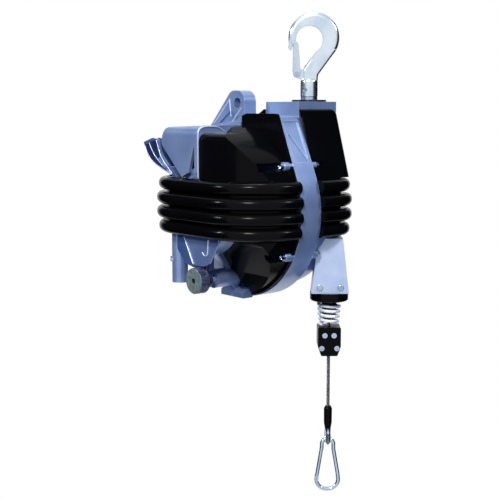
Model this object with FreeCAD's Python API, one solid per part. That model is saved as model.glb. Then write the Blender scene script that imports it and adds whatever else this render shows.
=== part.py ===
"""Spring balancer: a rope drum on a spring-loaded arbor inside a cast case, hung from a swivel hook.

Millimetres, +Z up. The model is laid out with the drum axis along X through the origin and
X = 0 at the case's bolted joint, and is moved at the end so that the seat of the hook is the origin.
"""
import FreeCAD
import Part
import math
import os

V = FreeCAD.Vector

# --- case casting: ring, head and rope drum housing -------------------------------------------
RING_R = 131.0              # outside of the ring
RING_WIDTH = 37.0
HORN_TOP = 137.0            # flat top of the ring under the head
HORN_NEAR = -82.0           # front corner of that flat
HORN_FAR = -8.0
CAVITY_R = 115.0            # spring barrel turns in here
CUP_WALL = 4.5
CUP_CAVITY_R = 115.0
CUP_CORNER = 40.0        # rope drum turns in here
CUP_END = 106.0             # right end of the cup
END_WALL = 4.5
WEB_RECESS = 2.5            # depth of the panel in the ring's sloping side
WEB_RIM = 4.5
BOLT_CIRCLE_R = 125.0
BOLT_R = 3.0
BOLT_EAR_R = 6.5
LEFT_EAR = 14.0             # length of the ears left of the ring
RIGHT_EAR = 9.0
BOLT_ANGLES = (147.5, 209.0, 331.0, 32.5)

# --- head block and swivel hook ---------------------------------------------------------------
ROPE_X = 84.0               # plane of the rope, and of the hook above it
HOOK_Y = -54.0
HEAD_LENGTH = 75.0
HEAD_NEAR = -83.0
HEAD_FAR = -11.0
HEAD_TOP = 158.0
NUT_POCKET_R = 24.0
NUT_POCKET_TOP = 136.0
STEM_R = 11.0
STEM_CLEARANCE = 0.05
STEM_END = 104.0
THREAD_R = 9.0
THRUST = 8.0                # height of the thrust bearing
SHANK_R = 13.0
SHANK_BOTTOM = 165.0
SHANK_TOP = 191.0
STEM_TOP_R = 8.0
STEM_PIN_R = 3.0
WASHER_R = 25.5
WASHER_THICK = 2.7
BOWL_R = 20.0               # inside of the hook's bowl
BOWL_Z = 248.7
HOOK_THICK = 17.0
LATCH_PIVOT = (-18.7, 199.0)
LATCH_PIN_R = 2.0
LUG_HALF = 3.4
LATCH_HALF = 7.4
LATCH_SHEET = 1.8
FACE_TURN = -40.0           # hook, guide, clamp and carabiner face this way about Z

# --- safety ear -------------------------------------------------------------------------------
EAR_X = 2.0
EAR_THICK = 22.0
EAR_HOLE_R = 8.0
EAR_HOLE = (14.0, 156.0)
EAR_TOP_R = 17.0
EAR_POCKET = 4.0

# --- left casting: split flange, cone, gear housing -------------------------------------------
SPLIT_Y = -5.0              # plane where the plastic cover meets the casting
FLANGE_THICK = 6.0
CASE_LEFT = -88.0
CASE_TOP = 124.0
CONE_WALL = 5.0
GEAR_HOUSING_R = 63.5
GEAR_HOUSING_LEFT = -81.0
GEAR_HOUSING_RIGHT = -56.0
GEAR_CAVITY_LEFT = -77.0
GEAR_CAVITY_RIGHT = -61.0
WORM_X = -69.0
MODULE = 1.5
WHEEL_TEETH = 74
WORM_PITCH_R = 8.0
WHEEL_FACE = 10.0
TUBE_R = 12.0
TUBE_TOP = 30.0
TUBE_BOTTOM = -111.0
SCREW_TURN = -30.0
SCREW_Z = -76.0
WEB_LEFT = -61.0
WEB_RIB = 2.5
KNOB_Z = -100.0
KNOB_LEFT = -92.0
KNOB_R = 19.0
KNOB_LENGTH = 17.0
NECK_R = 12.5
BOSS_LEFT = -56.0
LOCK_TRAVEL = 8.0           # the knob pushes its pin this far
NECK_LENGTH = LOCK_TRAVEL + 2.0
BOSS_R = 14.0
PIN_R = 5.0

# --- bumpers and plastic covers ---------------------------------------------------------------
PLAN_R = 76.0               # corner radius of the left bumper in plan
PLAN_HALF = 120.0           # half depth of the bumper's groove floor in Y
BUMPER_WALL = 3.0
RIB_REACH = 12.5
MIDDLE_REACH = 15.5
RIB_PITCH = 21.3
RIB_HEIGHT = 18.0
RIB_COUNT = 4
BUMPER_LOW = -36.0
COVER_WALL = 3.5
COVER_R = 128.0
COVER_RIGHT = 117.0
COVER_CORNER = 18.0
COVER_OUT_R = 126.0
COVER_NEAR = -87.5
COVER_HORN_TOP = 147.0
COVER_LEFT = -84.0
JOINT_GAP = 0.3

# --- drum, barrel and spring ------------------------------------------------------------------
ARBOR_R = 12.5
BUSH_OUT_R = ARBOR_R + 3.5
DRUM_PITCH_R = 100.8
ROPE_R = 2.5
ROPE_PITCH = 6.0
WOUND_TURNS = 4
DRUM_LEFT = 56.0
DRUM_RIGHT = 89.5
FLANGE_R = 105.0
FLANGE_WALL = 2.6
BARREL_LEFT = -5.0
BARREL_RIGHT = 43.0
BARREL_R = 112.0
BARREL_WALL = 3.5
HUB_R = 27.0
BEARING_R = 26.0
BEARING_WIDTH = 12.0
SPRING_WIDTH = 38.0
SPRING_TURNS = 9
STRIP = 2.2
RATCHET_R = 60.6
RATCHET_ROOT_R = 55.5
PAWL_REACH = 19.0
PAWL_ANGLE = 48.0           # between the nose at rest and the line to the drum axis
RATCHET_PHASE = 14.0
RATCHET_TEETH = 24
RATCHET_WIDTH = 7.0

# --- lock lever -------------------------------------------------------------------------------
LEVER_PIVOT = (60.0, 42.0)
LEVER_X = -80.5
LEVER_HUB_R = 8.5
LEVER_SHAFT_R = 5.0
LEVER_WIDTH = 15.0

# --- rope guide and rope end ------------------------------------------------------------------
ROPE_Y = -DRUM_PITCH_R
ROPE_START = -33.5
GUIDE_TOP = -39.6
GUIDE_BOTTOM = -121.0
GUIDE_HALF_TOP = 18.0
GUIDE_HALF_BOTTOM = 27.5
GUIDE_HALF_DEPTH = 20.0
PLATE_THICK = 2.5
BUSH_R = 17.0
ROPE_HOLE_R = 4.0
BUFFER_R = 28.5
BUFFER_THICK = 13.0
CORE_R = 13.0
CORE_LENGTH = 28.0
COIL_TOP_R = 16.3
COIL_BOTTOM_R = 13.0
COIL_WIRE_R = 2.4
COIL_TURNS = 4.5
CLAMP_TOP = -173.0
CLAMP_BOTTOM = -216.0
CLAMP_HALF = 17.0
CLAMP_DEPTH = 16.0
SLEEVE_TOP = -296.0
SLEEVE_BOTTOM = -330.0
EYE_Z = -342.0
EYE_R = 8.5
EYE_WALL = 1.6
WIRE_R = 3.0
GATE_PIN_R = 1.0
CARABINER_LENGTH = 85.0

ORIGIN = V(ROPE_X, HOOK_Y, BOWL_Z + BOWL_R)
NODES = {}


def point(plane, a, b, depth=0.0):
    """Put plane coordinates into space: YZ, XZ or XY, at a depth along the plane's normal."""
    if plane == "YZ":
        return V(depth, a, b)
    if plane == "XZ":
        return V(a, depth, b)
    return V(a, b, depth)


def chain(plane, corners, depth=0.0, closed=True):
    """Edges of a polyline (a, b, radius) with its corners rounded."""
    spots = [(c[0], c[1], c[2] if len(c) > 2 else 0.0) for c in corners]
    count = len(spots)
    edges = []
    entry = []
    for i, (a, b, r) in enumerate(spots):
        if r == 0.0 or (not closed and i in (0, count - 1)):
            entry.append(((a, b), None, (a, b)))
            continue
        pa, pb, _ = spots[i - 1]
        na, nb, _ = spots[(i + 1) % count]
        u = unit(pa - a, pb - b)
        w = unit(na - a, nb - b)
        turn = math.acos(max(-1.0, min(1.0, u[0] * w[0] + u[1] * w[1])))
        reach = r / math.tan(turn / 2)
        bisector = unit(u[0] + w[0], u[1] + w[1])
        away = r / math.sin(turn / 2) - r
        start = (a + u[0] * reach, b + u[1] * reach)
        end = (a + w[0] * reach, b + w[1] * reach)
        entry.append((start, (a + bisector[0] * away, b + bisector[1] * away), end))
    for i, (start, middle, end) in enumerate(entry):
        if middle:
            edges.append(Part.Arc(*(point(plane, *p, depth) for p in (start, middle, end))).toShape())
        if i + 1 < count or closed:
            after = entry[(i + 1) % count][0]
            if math.dist(end, after) > 1e-6:
                edges.append(Part.LineSegment(point(plane, *end, depth), point(plane, *after,
                    depth)).toShape())
    return edges


def unit(a, b):
    size = math.hypot(a, b)
    return (a / size, b / size)


def prism(plane, start, end, corners):
    """Extrude a rounded polygon along the plane's normal from start to end."""
    face = Part.Face(Part.Wire(chain(plane, corners, start)))
    return face.extrude(point(plane, 0, 0, end - start))


def rod(axis, centre, radius, start, end):
    """Cylinder along X, Y or Z between two stations."""
    plane = {"X": "YZ", "Y": "XZ", "Z": "XY"}[axis]
    return Part.makeCylinder(radius, end - start, point(plane, *centre, start), point(plane, 0, 0, 1))


def box(x0, x1, y0, y1, z0, z1):
    return Part.makeBox(x1 - x0, y1 - y0, z1 - z0, V(x0, y0, z0))


def turned(profile):
    """Revolve (x, radius) points about the drum axis."""
    wire = Part.Wire(chain("XY", profile))
    return Part.Face(wire).revolve(V(0, 0, 0), V(1, 0, 0), 360)


def spun(profile, x, y):
    """Revolve (radius, z) points about the vertical through x, y."""
    solid = Part.Face(Part.Wire(chain("XZ", profile))).revolve(V(0, 0, 0), V(0, 0, 1), 360)
    solid.translate(V(x, y, 0))
    return solid


def fuse(*solids):
    whole = solids[0].fuse(list(solids[1:]))
    return whole.removeSplitter()


def carve(solid, cutters):
    """Cut the tools away one after another."""
    for cutter in cutters:
        solid = solid.cut(cutter)
    return solid


def turn_to_face(shape, x, y):
    """Turn a piece drawn in the XZ plane about its own vertical, then carry it to x, y."""
    shape = shape.copy()
    shape.rotate(V(0, 0, 0), V(0, 0, 1), FACE_TURN)
    shape.translate(V(x, y, 0))
    return shape


def on_circle(radius, degrees):
    angle = math.radians(degrees)
    return (radius * math.cos(angle), radius * math.sin(angle))


def soften(solid, radius, choose):
    """Fillet the edges that choose picks."""
    return solid.makeFillet(radius, [edge for edge in solid.Edges if choose(edge)])


def save(name, shape):
    shape = shape.copy()
    shape.translate(ORIGIN * -1)
    NODES[name] = shape
    shape.exportStep(f"parts/{name}.step")


# --- outlines ---------------------------------------------------------------------------------
def case_outline(radius, near, far, top, corner=5.0):
    """Circle with a flat-topped horn on its front side: the outline of ring and covers in YZ."""
    def touch(a, b, side):
        base = math.atan2(b, a)
        return base + side * math.acos(radius / math.hypot(a, b))
    first = touch(near, top, 1)
    last = touch(far, top, -1)
    start = (radius * math.cos(first), radius * math.sin(first))
    end = (radius * math.cos(last), radius * math.sin(last))
    horn = chain("YZ", [start, (near, top, corner), (far, top, 2.0), end], closed=False)
    low = (first + last - 2 * math.pi) / 2
    arc = Part.Arc(point("YZ", *end), V(0, radius * math.cos(low), radius * math.sin(low)), point("YZ",
            *start))
    return Part.Face(Part.Wire(horn + [arc.toShape()]))


def case_prism(start, end, radius, near=HORN_NEAR, far=HORN_FAR, top=HORN_TOP):
    face = case_outline(radius, near, far, top)
    face.translate(V(start, 0, 0))
    return face.extrude(V(end - start, 0, 0))


def left_plan(reach):
    """D-shaped plan of the left bumper, moved outward by reach."""
    half = PLAN_HALF + reach
    left = COVER_LEFT - 4.0 - reach
    radius = PLAN_R + reach
    return [(0, -half), (left, -half, radius), (left, half, radius), (0, half)]


def right_plan(reach):
    half = COVER_R - 4.0 + reach
    right = COVER_RIGHT - 7.0 + reach
    radius = 44.0 + reach
    return [(RING_WIDTH, half), (right, half, radius), (right, -half, radius), (RING_WIDTH, -half)]


def cover_profile(inset):
    """Side view of the left cover in XZ, moved inward by inset."""
    corners = [(8, 121), (-24, 121, 3), (-38, 112, 8), (COVER_LEFT, 114, 12),
               (COVER_LEFT, -32, 10), (-55, -42, 8), (-24, -90, 30), (-8, -120), (8, -146)]
    wire = Part.Wire(chain("XZ", corners))
    face = Part.Face(wire)
    if inset:
        face = Part.Face(wire.makeOffset2D(-inset, 2))
    return face


# --- case -------------------------------------------------------------------------------------
def bolt_spots():
    return [on_circle(BOLT_CIRCLE_R, angle) for angle in BOLT_ANGLES]


def ring_web():
    """Recess in the ring's sloping front side, with one diagonal rib left standing."""
    slope = math.atan2(HORN_TOP - 64.0, abs(-115.0 - HORN_NEAR))
    length = 66.0
    pocket = box(WEB_RIM, RING_WIDTH - WEB_RIM, -8.0, WEB_RECESS, -length, -3.0)
    rib = prism("XZ", -8.0, WEB_RECESS, [(9, -22), (12, -22), (RING_WIDTH - 4, -length), (RING_WIDTH - 7,
            -length)])
    pocket = pocket.cut(rib)
    pocket.rotate(V(0, 0, 0), V(1, 0, 0), -math.degrees(math.pi / 2 - slope))
    pocket.translate(V(0, HORN_NEAR - 2.5, HORN_TOP - 4.0))
    return pocket


def ear_outline():
    y, z = EAR_HOLE
    slope = math.atan2(z - 121.0, 78.0 - y)
    foot = 104.0
    return [(y - EAR_TOP_R - 1, foot), (y - EAR_TOP_R, z + EAR_TOP_R + 1, EAR_TOP_R),
            (y + EAR_TOP_R * math.sin(slope) + 6, z + EAR_TOP_R * math.cos(slope) + 4, EAR_TOP_R),
            (82.0, 118.0, 2), (82.0, 88.0)]


def safety_ear():
    ear = prism("YZ", EAR_X, EAR_X + EAR_THICK, ear_outline())
    upper = prism("YZ", EAR_X - 1, EAR_X + EAR_POCKET, [(8, 134, 2), (30, 146, 2), (62, 124, 2),
            (44, 122, 2)])
    lower = prism("YZ", EAR_X - 1, EAR_X + EAR_POCKET, [(2, 112, 2), (2, 137, 2), (36, 112, 2)])
    hole = rod("X", EAR_HOLE, EAR_HOLE_R, EAR_X - 1, EAR_X + EAR_THICK + 1)
    return ear, [upper, lower, hole]


def cup_body(reach):
    """Outside of the rope drum's cup, moved outward by reach."""
    radius = CUP_CAVITY_R + CUP_WALL + reach
    end = CUP_END + reach
    return turned([(RING_WIDTH - 2, 0), (RING_WIDTH - 2, radius), (end, radius, CUP_CORNER + reach), (end,
            0)])


def drum_frame():
    ring = case_prism(0, RING_WIDTH, RING_R)
    ring = ring.cut([ring_web()])
    cup = cup_body(0)
    head = box(RING_WIDTH, RING_WIDTH + HEAD_LENGTH, HEAD_NEAR, HEAD_FAR, 70.0, HEAD_TOP)
    ear, ear_cuts = safety_ear()
    ears = [rod("X", spot, BOLT_EAR_R, RING_WIDTH - 1, RING_WIDTH + RIGHT_EAR) for spot in bolt_spots()]
    solid = ring.fuse([cup, head, ear] + ears)
    cavity = turned([(-1, 0), (-1, CAVITY_R), (BARREL_RIGHT + 2, CAVITY_R), (BARREL_RIGHT + 2, CUP_CAVITY_R),
                     (CUP_END - END_WALL, CUP_CAVITY_R, CUP_CORNER - CUP_WALL), (CUP_END - END_WALL, 0)])
    bore = rod("Z", (ROPE_X, HOOK_Y), STEM_R + STEM_CLEARANCE, 100, HEAD_TOP + 1)
    pocket = rod("Z", (ROPE_X, HOOK_Y), NUT_POCKET_R, 80, NUT_POCKET_TOP)
    end_bore = rod("X", (0, 0), BUSH_OUT_R, CUP_END - END_WALL - 1, CUP_END + 1)
    rope_slot = box(ROPE_X - 22, ROPE_X + 8, ROPE_Y - 8, ROPE_Y + 8, -80, -28)
    bolts = [rod("X", spot, BOLT_R + 0.2, -1, RING_WIDTH + RIGHT_EAR + 1) for spot in bolt_spots()]
    solid = carve(solid, [cavity, bore, pocket, end_bore, rope_slot] + bolts + ear_cuts)
    hub = rod("X", (0, 0), 40.0, DRUM_RIGHT + 1.0, CUP_END - END_WALL)
    hub = hub.cut(rod("X", (0, 0), BUSH_OUT_R, CUP_END - 30, CUP_END))
    return solid.fuse([hub]).removeSplitter()


def split_flange():
    """Plate in the split plane whose edge shows as a bright lip round the cover."""
    outline = [(-1, CASE_TOP), (CASE_LEFT, CASE_TOP, 14), (CASE_LEFT, -34, 10), (-61, -45, 6),
               (-30, -94, 30), (-15, -124), (-1, -127)]
    return prism("XZ", SPLIT_Y, SPLIT_Y + FLANGE_THICK, outline)


def rear_shroud():
    """Boxy upper part of the left casting behind the split."""
    section = [(SPLIT_Y + 1, CASE_TOP - 12), (SPLIT_Y + 1, CASE_TOP), (74, CASE_TOP - 3, 10), (84, 98,
            12), (22, 40)]
    block = prism("YZ", CASE_LEFT, -1, section)
    side = prism("XZ", SPLIT_Y, 90, [(-1, CASE_TOP + 2), (CASE_LEFT, CASE_TOP, 14), (CASE_LEFT, 30), (-1,
            30)])
    block = block.common(side)
    room = prism("YZ", CASE_LEFT + CONE_WALL, -6, [(4, 60), (4, CASE_TOP - 5), (72, CASE_TOP - 8, 6),
                                                   (78, 99, 8), (36, 60)])
    return block.cut(room)


def cone(inset):
    """Dished wall of the left casting, turned about the drum axis."""
    r = -inset
    x = inset
    return turned([(0, 0), (0, 121 + r), (-5, 121 + r, 2), (-8 + x, 113 + r, 4), (-24 + x, 84 + r, 20),
                   (-52 + x, 46 + r), (-60 + x, 40 + r), (-60 + x, 0)])


def knob_web():
    """Plate from the worm tube down to the knob's boss, with a raised border and a hooked rib."""
    tube_side = worm_y() - TUBE_R + 1
    plate = prism("YZ", WEB_LEFT, WEB_LEFT + 9, [(2, -28), (tube_side, -28), (tube_side, -44), (17,
            KNOB_Z + 8, 6),
                                                 (2, KNOB_Z + 4)])
    border = prism("YZ", WEB_LEFT - WEB_RIB, WEB_LEFT, [(tube_side, -40), (tube_side, -44),
            (17, KNOB_Z + 8, 6),
                                                        (9, KNOB_Z + 6), (14, KNOB_Z + 12, 4)])
    hooked = prism("YZ", WEB_LEFT - WEB_RIB, WEB_LEFT, [(19, -28), (21.5, -28), (21.5, -62), (29, -62, 3),
            (29, -56),
                                                        (31.5, -56), (31.5, -64.5, 5), (19, -64.5, 2)])
    return plate, border.fuse(hooked)


def tube_screw():
    """Grub screw head on the side of the worm tube."""
    head = soften(rod("X", (0, 0), 4.2, -TUBE_R - 2.6, 1.2 - TUBE_R), 0.8,
            lambda e: e.BoundBox.XMax < -TUBE_R - 2)
    screw = head.fuse(rod("X", (0, 0), 2.5, 1.0 - TUBE_R, 0.3 - WORM_TIP_R - 0.3))
    screw = screw.cut(hexagon_prism("YZ", -TUBE_R - 3, -TUBE_R - 0.8, (0, 0), 2.0))
    return placed_on_tube(screw)


def placed_on_tube(shape):
    """Turn a piece drawn on the tube's left side to where the screw sits."""
    shape.rotate(V(0, 0, 0), V(0, 0, 1), SCREW_TURN)
    shape.translate(V(WORM_X, worm_y(), SCREW_Z))
    return shape


def spring_case():
    shell = cone(0)
    gear = rod("X", (0, 0), GEAR_HOUSING_R, GEAR_HOUSING_LEFT, GEAR_HOUSING_RIGHT)
    tube = rod("Z", (WORM_X, worm_y()), TUBE_R, TUBE_BOTTOM, TUBE_TOP)
    boss = rod("X", (0, KNOB_Z), BOSS_R, BOSS_LEFT, -4)
    web, rib = knob_web()
    foot = prism("XZ", -24, 26, [(-20, -122), (-20, -RING_R, 2), (0, -RING_R), (0, -118), (-12, -118)])
    ears = [rod("X", spot, BOLT_EAR_R, -LEFT_EAR, 0) for spot in bolt_spots()]
    rear_flange = rod("X", (0, 0), RING_R - 2, -7, 0).common(box(-8, 0, SPLIT_Y, RING_R, -RING_R, RING_R))
    solid = shell.fuse([gear, tube, boss, web, rib, foot, split_flange(), rear_shroud(), rear_flange] + ears)
    dish = cone(CONE_WALL)
    barrel_room = rod("X", (0, 0), CAVITY_R, BARREL_LEFT - 1.5, 1)
    gear_room = rod("X", (0, 0), wheel_tip_r() + 1.5, GEAR_CAVITY_LEFT, GEAR_CAVITY_RIGHT)
    ratchet_room = rod("X", (0, 0), RATCHET_R + 2, BARREL_LEFT - RATCHET_WIDTH - 3, 0)
    bore = rod("X", (0, 0), BUSH_OUT_R, GEAR_CAVITY_RIGHT - 1, 0)
    worm_bore = rod("Z", (WORM_X, worm_y()), WORM_TIP_R + 0.3, TUBE_BOTTOM - 1, TUBE_TOP - 3)
    pin_bore = rod("X", (0, KNOB_Z), PIN_R + 0.05, BOSS_LEFT - 1, 1)
    neck_room = rod("X", (0, KNOB_Z), NECK_R + 0.6, CASE_LEFT, BOSS_LEFT)
    pin_room = rod("X", (0, KNOB_Z), PIN_R + 4, BOSS_LEFT + 14, BOSS_LEFT + 36)
    bolts = [rod("X", spot, BOLT_R + 0.2, -LEFT_EAR - 1, 1) for spot in bolt_spots()]
    lever_bore = rod("X", LEVER_PIVOT, LEVER_SHAFT_R + 0.05, -90, 0)
    lever_slot = prism("YZ", CASE_LEFT - 1, LEVER_X + LEVER_WIDTH + 0.5, lever_sweep())
    side_hole = placed_on_tube(rod("X", (0, 0), 2.5, -TUBE_R - 1, 0))
    side_seat = placed_on_tube(rod("X", (0, 0), 4.2, -TUBE_R - 1, 1.2 - TUBE_R))
    solid = carve(solid, [left_belt(), dish, barrel_room, gear_room, ratchet_room, bore, worm_bore, pin_bore,
                          neck_room, pin_room, lever_bore, lever_slot, side_hole, side_seat,
                              gear_door_room()] + bolts)
    hub = rod("X", (0, 0), BUSH_OUT_R + 5, -61, -22).cut(rod("X", (0, 0), BUSH_OUT_R, -70, 0))
    socket = rod("X", LEVER_PIVOT, LEVER_SHAFT_R + 4, -56, -22).cut(rod("X", LEVER_PIVOT,
            LEVER_SHAFT_R + 0.05, -70, 0))
    return solid.fuse([hub, socket])


def wheel_tip_r():
    return MODULE * (WHEEL_TEETH + 2) / 2


WORM_TIP_R = WORM_PITCH_R + MODULE


def worm_y():
    return MODULE * WHEEL_TEETH / 2 + WORM_PITCH_R


def gear_door_room():
    return rod("X", (0, 0), wheel_tip_r() + 1.5, GEAR_HOUSING_LEFT - 8, GEAR_CAVITY_LEFT + 1)


def lever_sweep():
    """Room that the lever needs in the case over its travel."""
    y, z = LEVER_PIVOT
    return [(y - 10, z - 10), (y - 10, z + 12), (y + 8, z + 24), (y + 60, z + 60), (y + 60, z - 10)]


def left_belt():
    """Room for the left bumper: everything outside its inner face, over its height."""
    belt = box(-120, 0, -160, 160, BUMPER_LOW - 0.5, bumper_top() + 0.5)
    return belt.cut(prism("XY", -50, 60, stretched(left_plan(-BUMPER_WALL - 0.2), 9)))


def left_cover():
    profile = cover_profile(0)
    half = COVER_R
    outer = profile.extrude(V(0, 2 * half, 0))
    outer.translate(V(0, -half, 0))
    plan = prism("XY", -150, 150, [(0, -half + 2), (COVER_LEFT, -half + 2, PLAN_R - 2), (COVER_LEFT, half,
            PLAN_R), (0, half)])
    disc = rod("X", (0, 0), COVER_R - 2, -100, 0)
    body = outer.common(plan).common(disc)
    rim = case_prism(-5.0, -JOINT_GAP / 3, RING_R - 1.5, far=-16.0, top=141.0)
    body = body.fuse([rim])
    inner_profile = cover_profile(COVER_WALL)
    inner = inner_profile.extrude(V(0, 2 * half, 0))
    inner.translate(V(0, -half, 0))
    inner_plan = prism("XY", -150, 150, [(9, -half + 10), (COVER_LEFT + 4, -half + 10, PLAN_R - 8),
                                         (COVER_LEFT + 4, half, PLAN_R), (9, half)])
    inner = inner.common(inner_plan).common(rod("X", (0, 0), COVER_R - 6, -100, 9))
    casting = fuse(cone(-0.4), rod("X", (0, 0), GEAR_HOUSING_R + 0.4, GEAR_HOUSING_LEFT - 0.4,
            GEAR_HOUSING_RIGHT + 0.4))
    notches = [rod("X", spot, BOLT_EAR_R + 0.4, -60, 1) for spot in bolt_spots()]
    behind = box(-120, 9, SPLIT_Y - 0.1, 160, -160, 160)
    boss = rod("X", (0, KNOB_Z), BOSS_R + 0.4, -80, 1)
    foot = box(-30, 1, -28, 30, -140, -115)
    return carve(body, [left_belt(), inner, casting, behind, boss, foot] + notches)


def bumper_top():
    return BUMPER_LOW + (RIB_COUNT - 1) * RIB_PITCH + RIB_HEIGHT + 2.0


def ribbed_bumper(plan, x0, x1):
    """Rubber belt with rounded ribs, from one plan moved outward rib by rib."""
    wall = prism("XY", BUMPER_LOW, bumper_top(), plan(0))
    solid = wall
    for index in range(RIB_COUNT):
        low = BUMPER_LOW + 1.0 + index * RIB_PITCH
        reach = MIDDLE_REACH if 0 < index < RIB_COUNT - 1 else RIB_REACH
        rib = prism("XY", low, low + RIB_HEIGHT, plan(reach))
        rib = soften(rib, RIB_HEIGHT / 2 - 0.6, lambda e: outward_edge(e, x0, x1))
        solid = solid.fuse([rib])
    return solid.removeSplitter()


def outward_edge(edge, x0, x1):
    """True for the rib's horizontal edges, but not those in the plane where it meets the ring."""
    flat = abs(edge.BoundBox.ZLength) < 1e-6
    ends = edge.BoundBox
    in_joint = abs(ends.XLength) < 1e-6 and (abs(ends.XMin - x0) < 1e-6 or abs(ends.XMin - x1) < 1e-6)
    return flat and not in_joint


def left_bumper():
    solid = ribbed_bumper(left_plan, 0.0, 0.0)
    hollow = prism("XY", BUMPER_LOW - 1, bumper_top() + 1, stretched(left_plan(-BUMPER_WALL), 9))
    ring = rod("X", (0, 0), RING_R + JOINT_GAP, -JOINT_GAP / 3, 40)
    return solid.cut([hollow, ring])


def stretched(plan, x):
    """The plan with its open ends moved to x, so that a cut runs clear through them."""
    return [(x, plan[0][1])] + plan[1:-1] + [(x, plan[-1][1])]


def right_bumper():
    solid = ribbed_bumper(right_plan, RING_WIDTH, RING_WIDTH)
    hollow = prism("XY", BUMPER_LOW - 1, bumper_top() + 1, stretched(right_plan(-BUMPER_WALL),
            RING_WIDTH - 9))
    face = box(RING_WIDTH - 1, RING_WIDTH + JOINT_GAP / 3, -200, 200, -60, 60)
    ears = [rod("X", spot, BOLT_EAR_R + 0.4, 30, RING_WIDTH + RIGHT_EAR + 12) for spot in bolt_spots()]
    return solid.cut([hollow, face] + ears)


def right_cover():
    outline = case_outline(COVER_OUT_R, COVER_NEAR, -6.0, COVER_HORN_TOP)
    shell = outline.extrude(V(COVER_RIGHT - RING_WIDTH - JOINT_GAP / 3, 0, 0))
    shell.translate(V(RING_WIDTH + JOINT_GAP / 3, 0, 0))
    shell = soften(shell, COVER_CORNER, lambda e: abs(e.BoundBox.XMin - COVER_RIGHT) < 1e-6 and e.BoundBox.XLength < 1e-6)
    inner = Part.Face(outline.makeOffset2D(-COVER_WALL).Wires[0]).extrude(V(COVER_RIGHT - COVER_WALL - RING_WIDTH + 5, 0, 0))
    inner.translate(V(RING_WIDTH - 5, 0, 0))
    inner = soften(inner, COVER_CORNER - COVER_WALL,
            lambda e: abs(e.BoundBox.XMin - COVER_RIGHT + COVER_WALL) < 1e-6
                   and e.BoundBox.XLength < 1e-6)
    belt = box(RING_WIDTH - 1, 200, -160, 160, BUMPER_LOW - 0.5, bumper_top() + 0.5)
    belt = belt.cut(prism("XY", -50, 60, stretched(right_plan(-BUMPER_WALL - 0.2), RING_WIDTH - 9)))
    below = box(RING_WIDTH - 9, 200, -200, 200, -200, 20)
    notches = [rod("X", spot, BOLT_EAR_R + 0.4, 30, RING_WIDTH + RIGHT_EAR + 12) for spot in bolt_spots()]
    cup = cup_body(0.2)
    head = box(RING_WIDTH - 5, COVER_RIGHT - COVER_WALL, HEAD_NEAR - 1, HEAD_FAR + 1.5, 115, 180)
    return carve(shell, [inner, head, belt, below, cup] + notches)


def case_bolts():
    bolts = []
    for spot in bolt_spots():
        shank = rod("X", spot, BOLT_R, -LEFT_EAR - 6, RING_WIDTH + RIGHT_EAR + 8)
        head = rod("X", spot, 5.0, -LEFT_EAR - 6, -LEFT_EAR)
        hexagon = hexagon_prism("YZ", -LEFT_EAR - 7, -LEFT_EAR - 3, spot, 2.9)
        bolts.append(shank.fuse([head]).cut([hexagon]))
    return Part.makeCompound(bolts)


def case_nuts():
    start = RING_WIDTH + RIGHT_EAR
    nuts = [hexagon_prism("YZ", start, start + 5.5, spot, 5.7).cut(rod("X", spot, BOLT_R + 0.05,
            start - 1, start + 7))
            for spot in bolt_spots()]
    return Part.makeCompound(nuts)


def hexagon_prism(plane, start, end, centre, radius):
    corners = []
    for side in range(6):
        a, b = on_circle(radius, 60 * side)
        corners.append((centre[0] + a, centre[1] + b))
    return prism(plane, start, end, corners)


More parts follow.
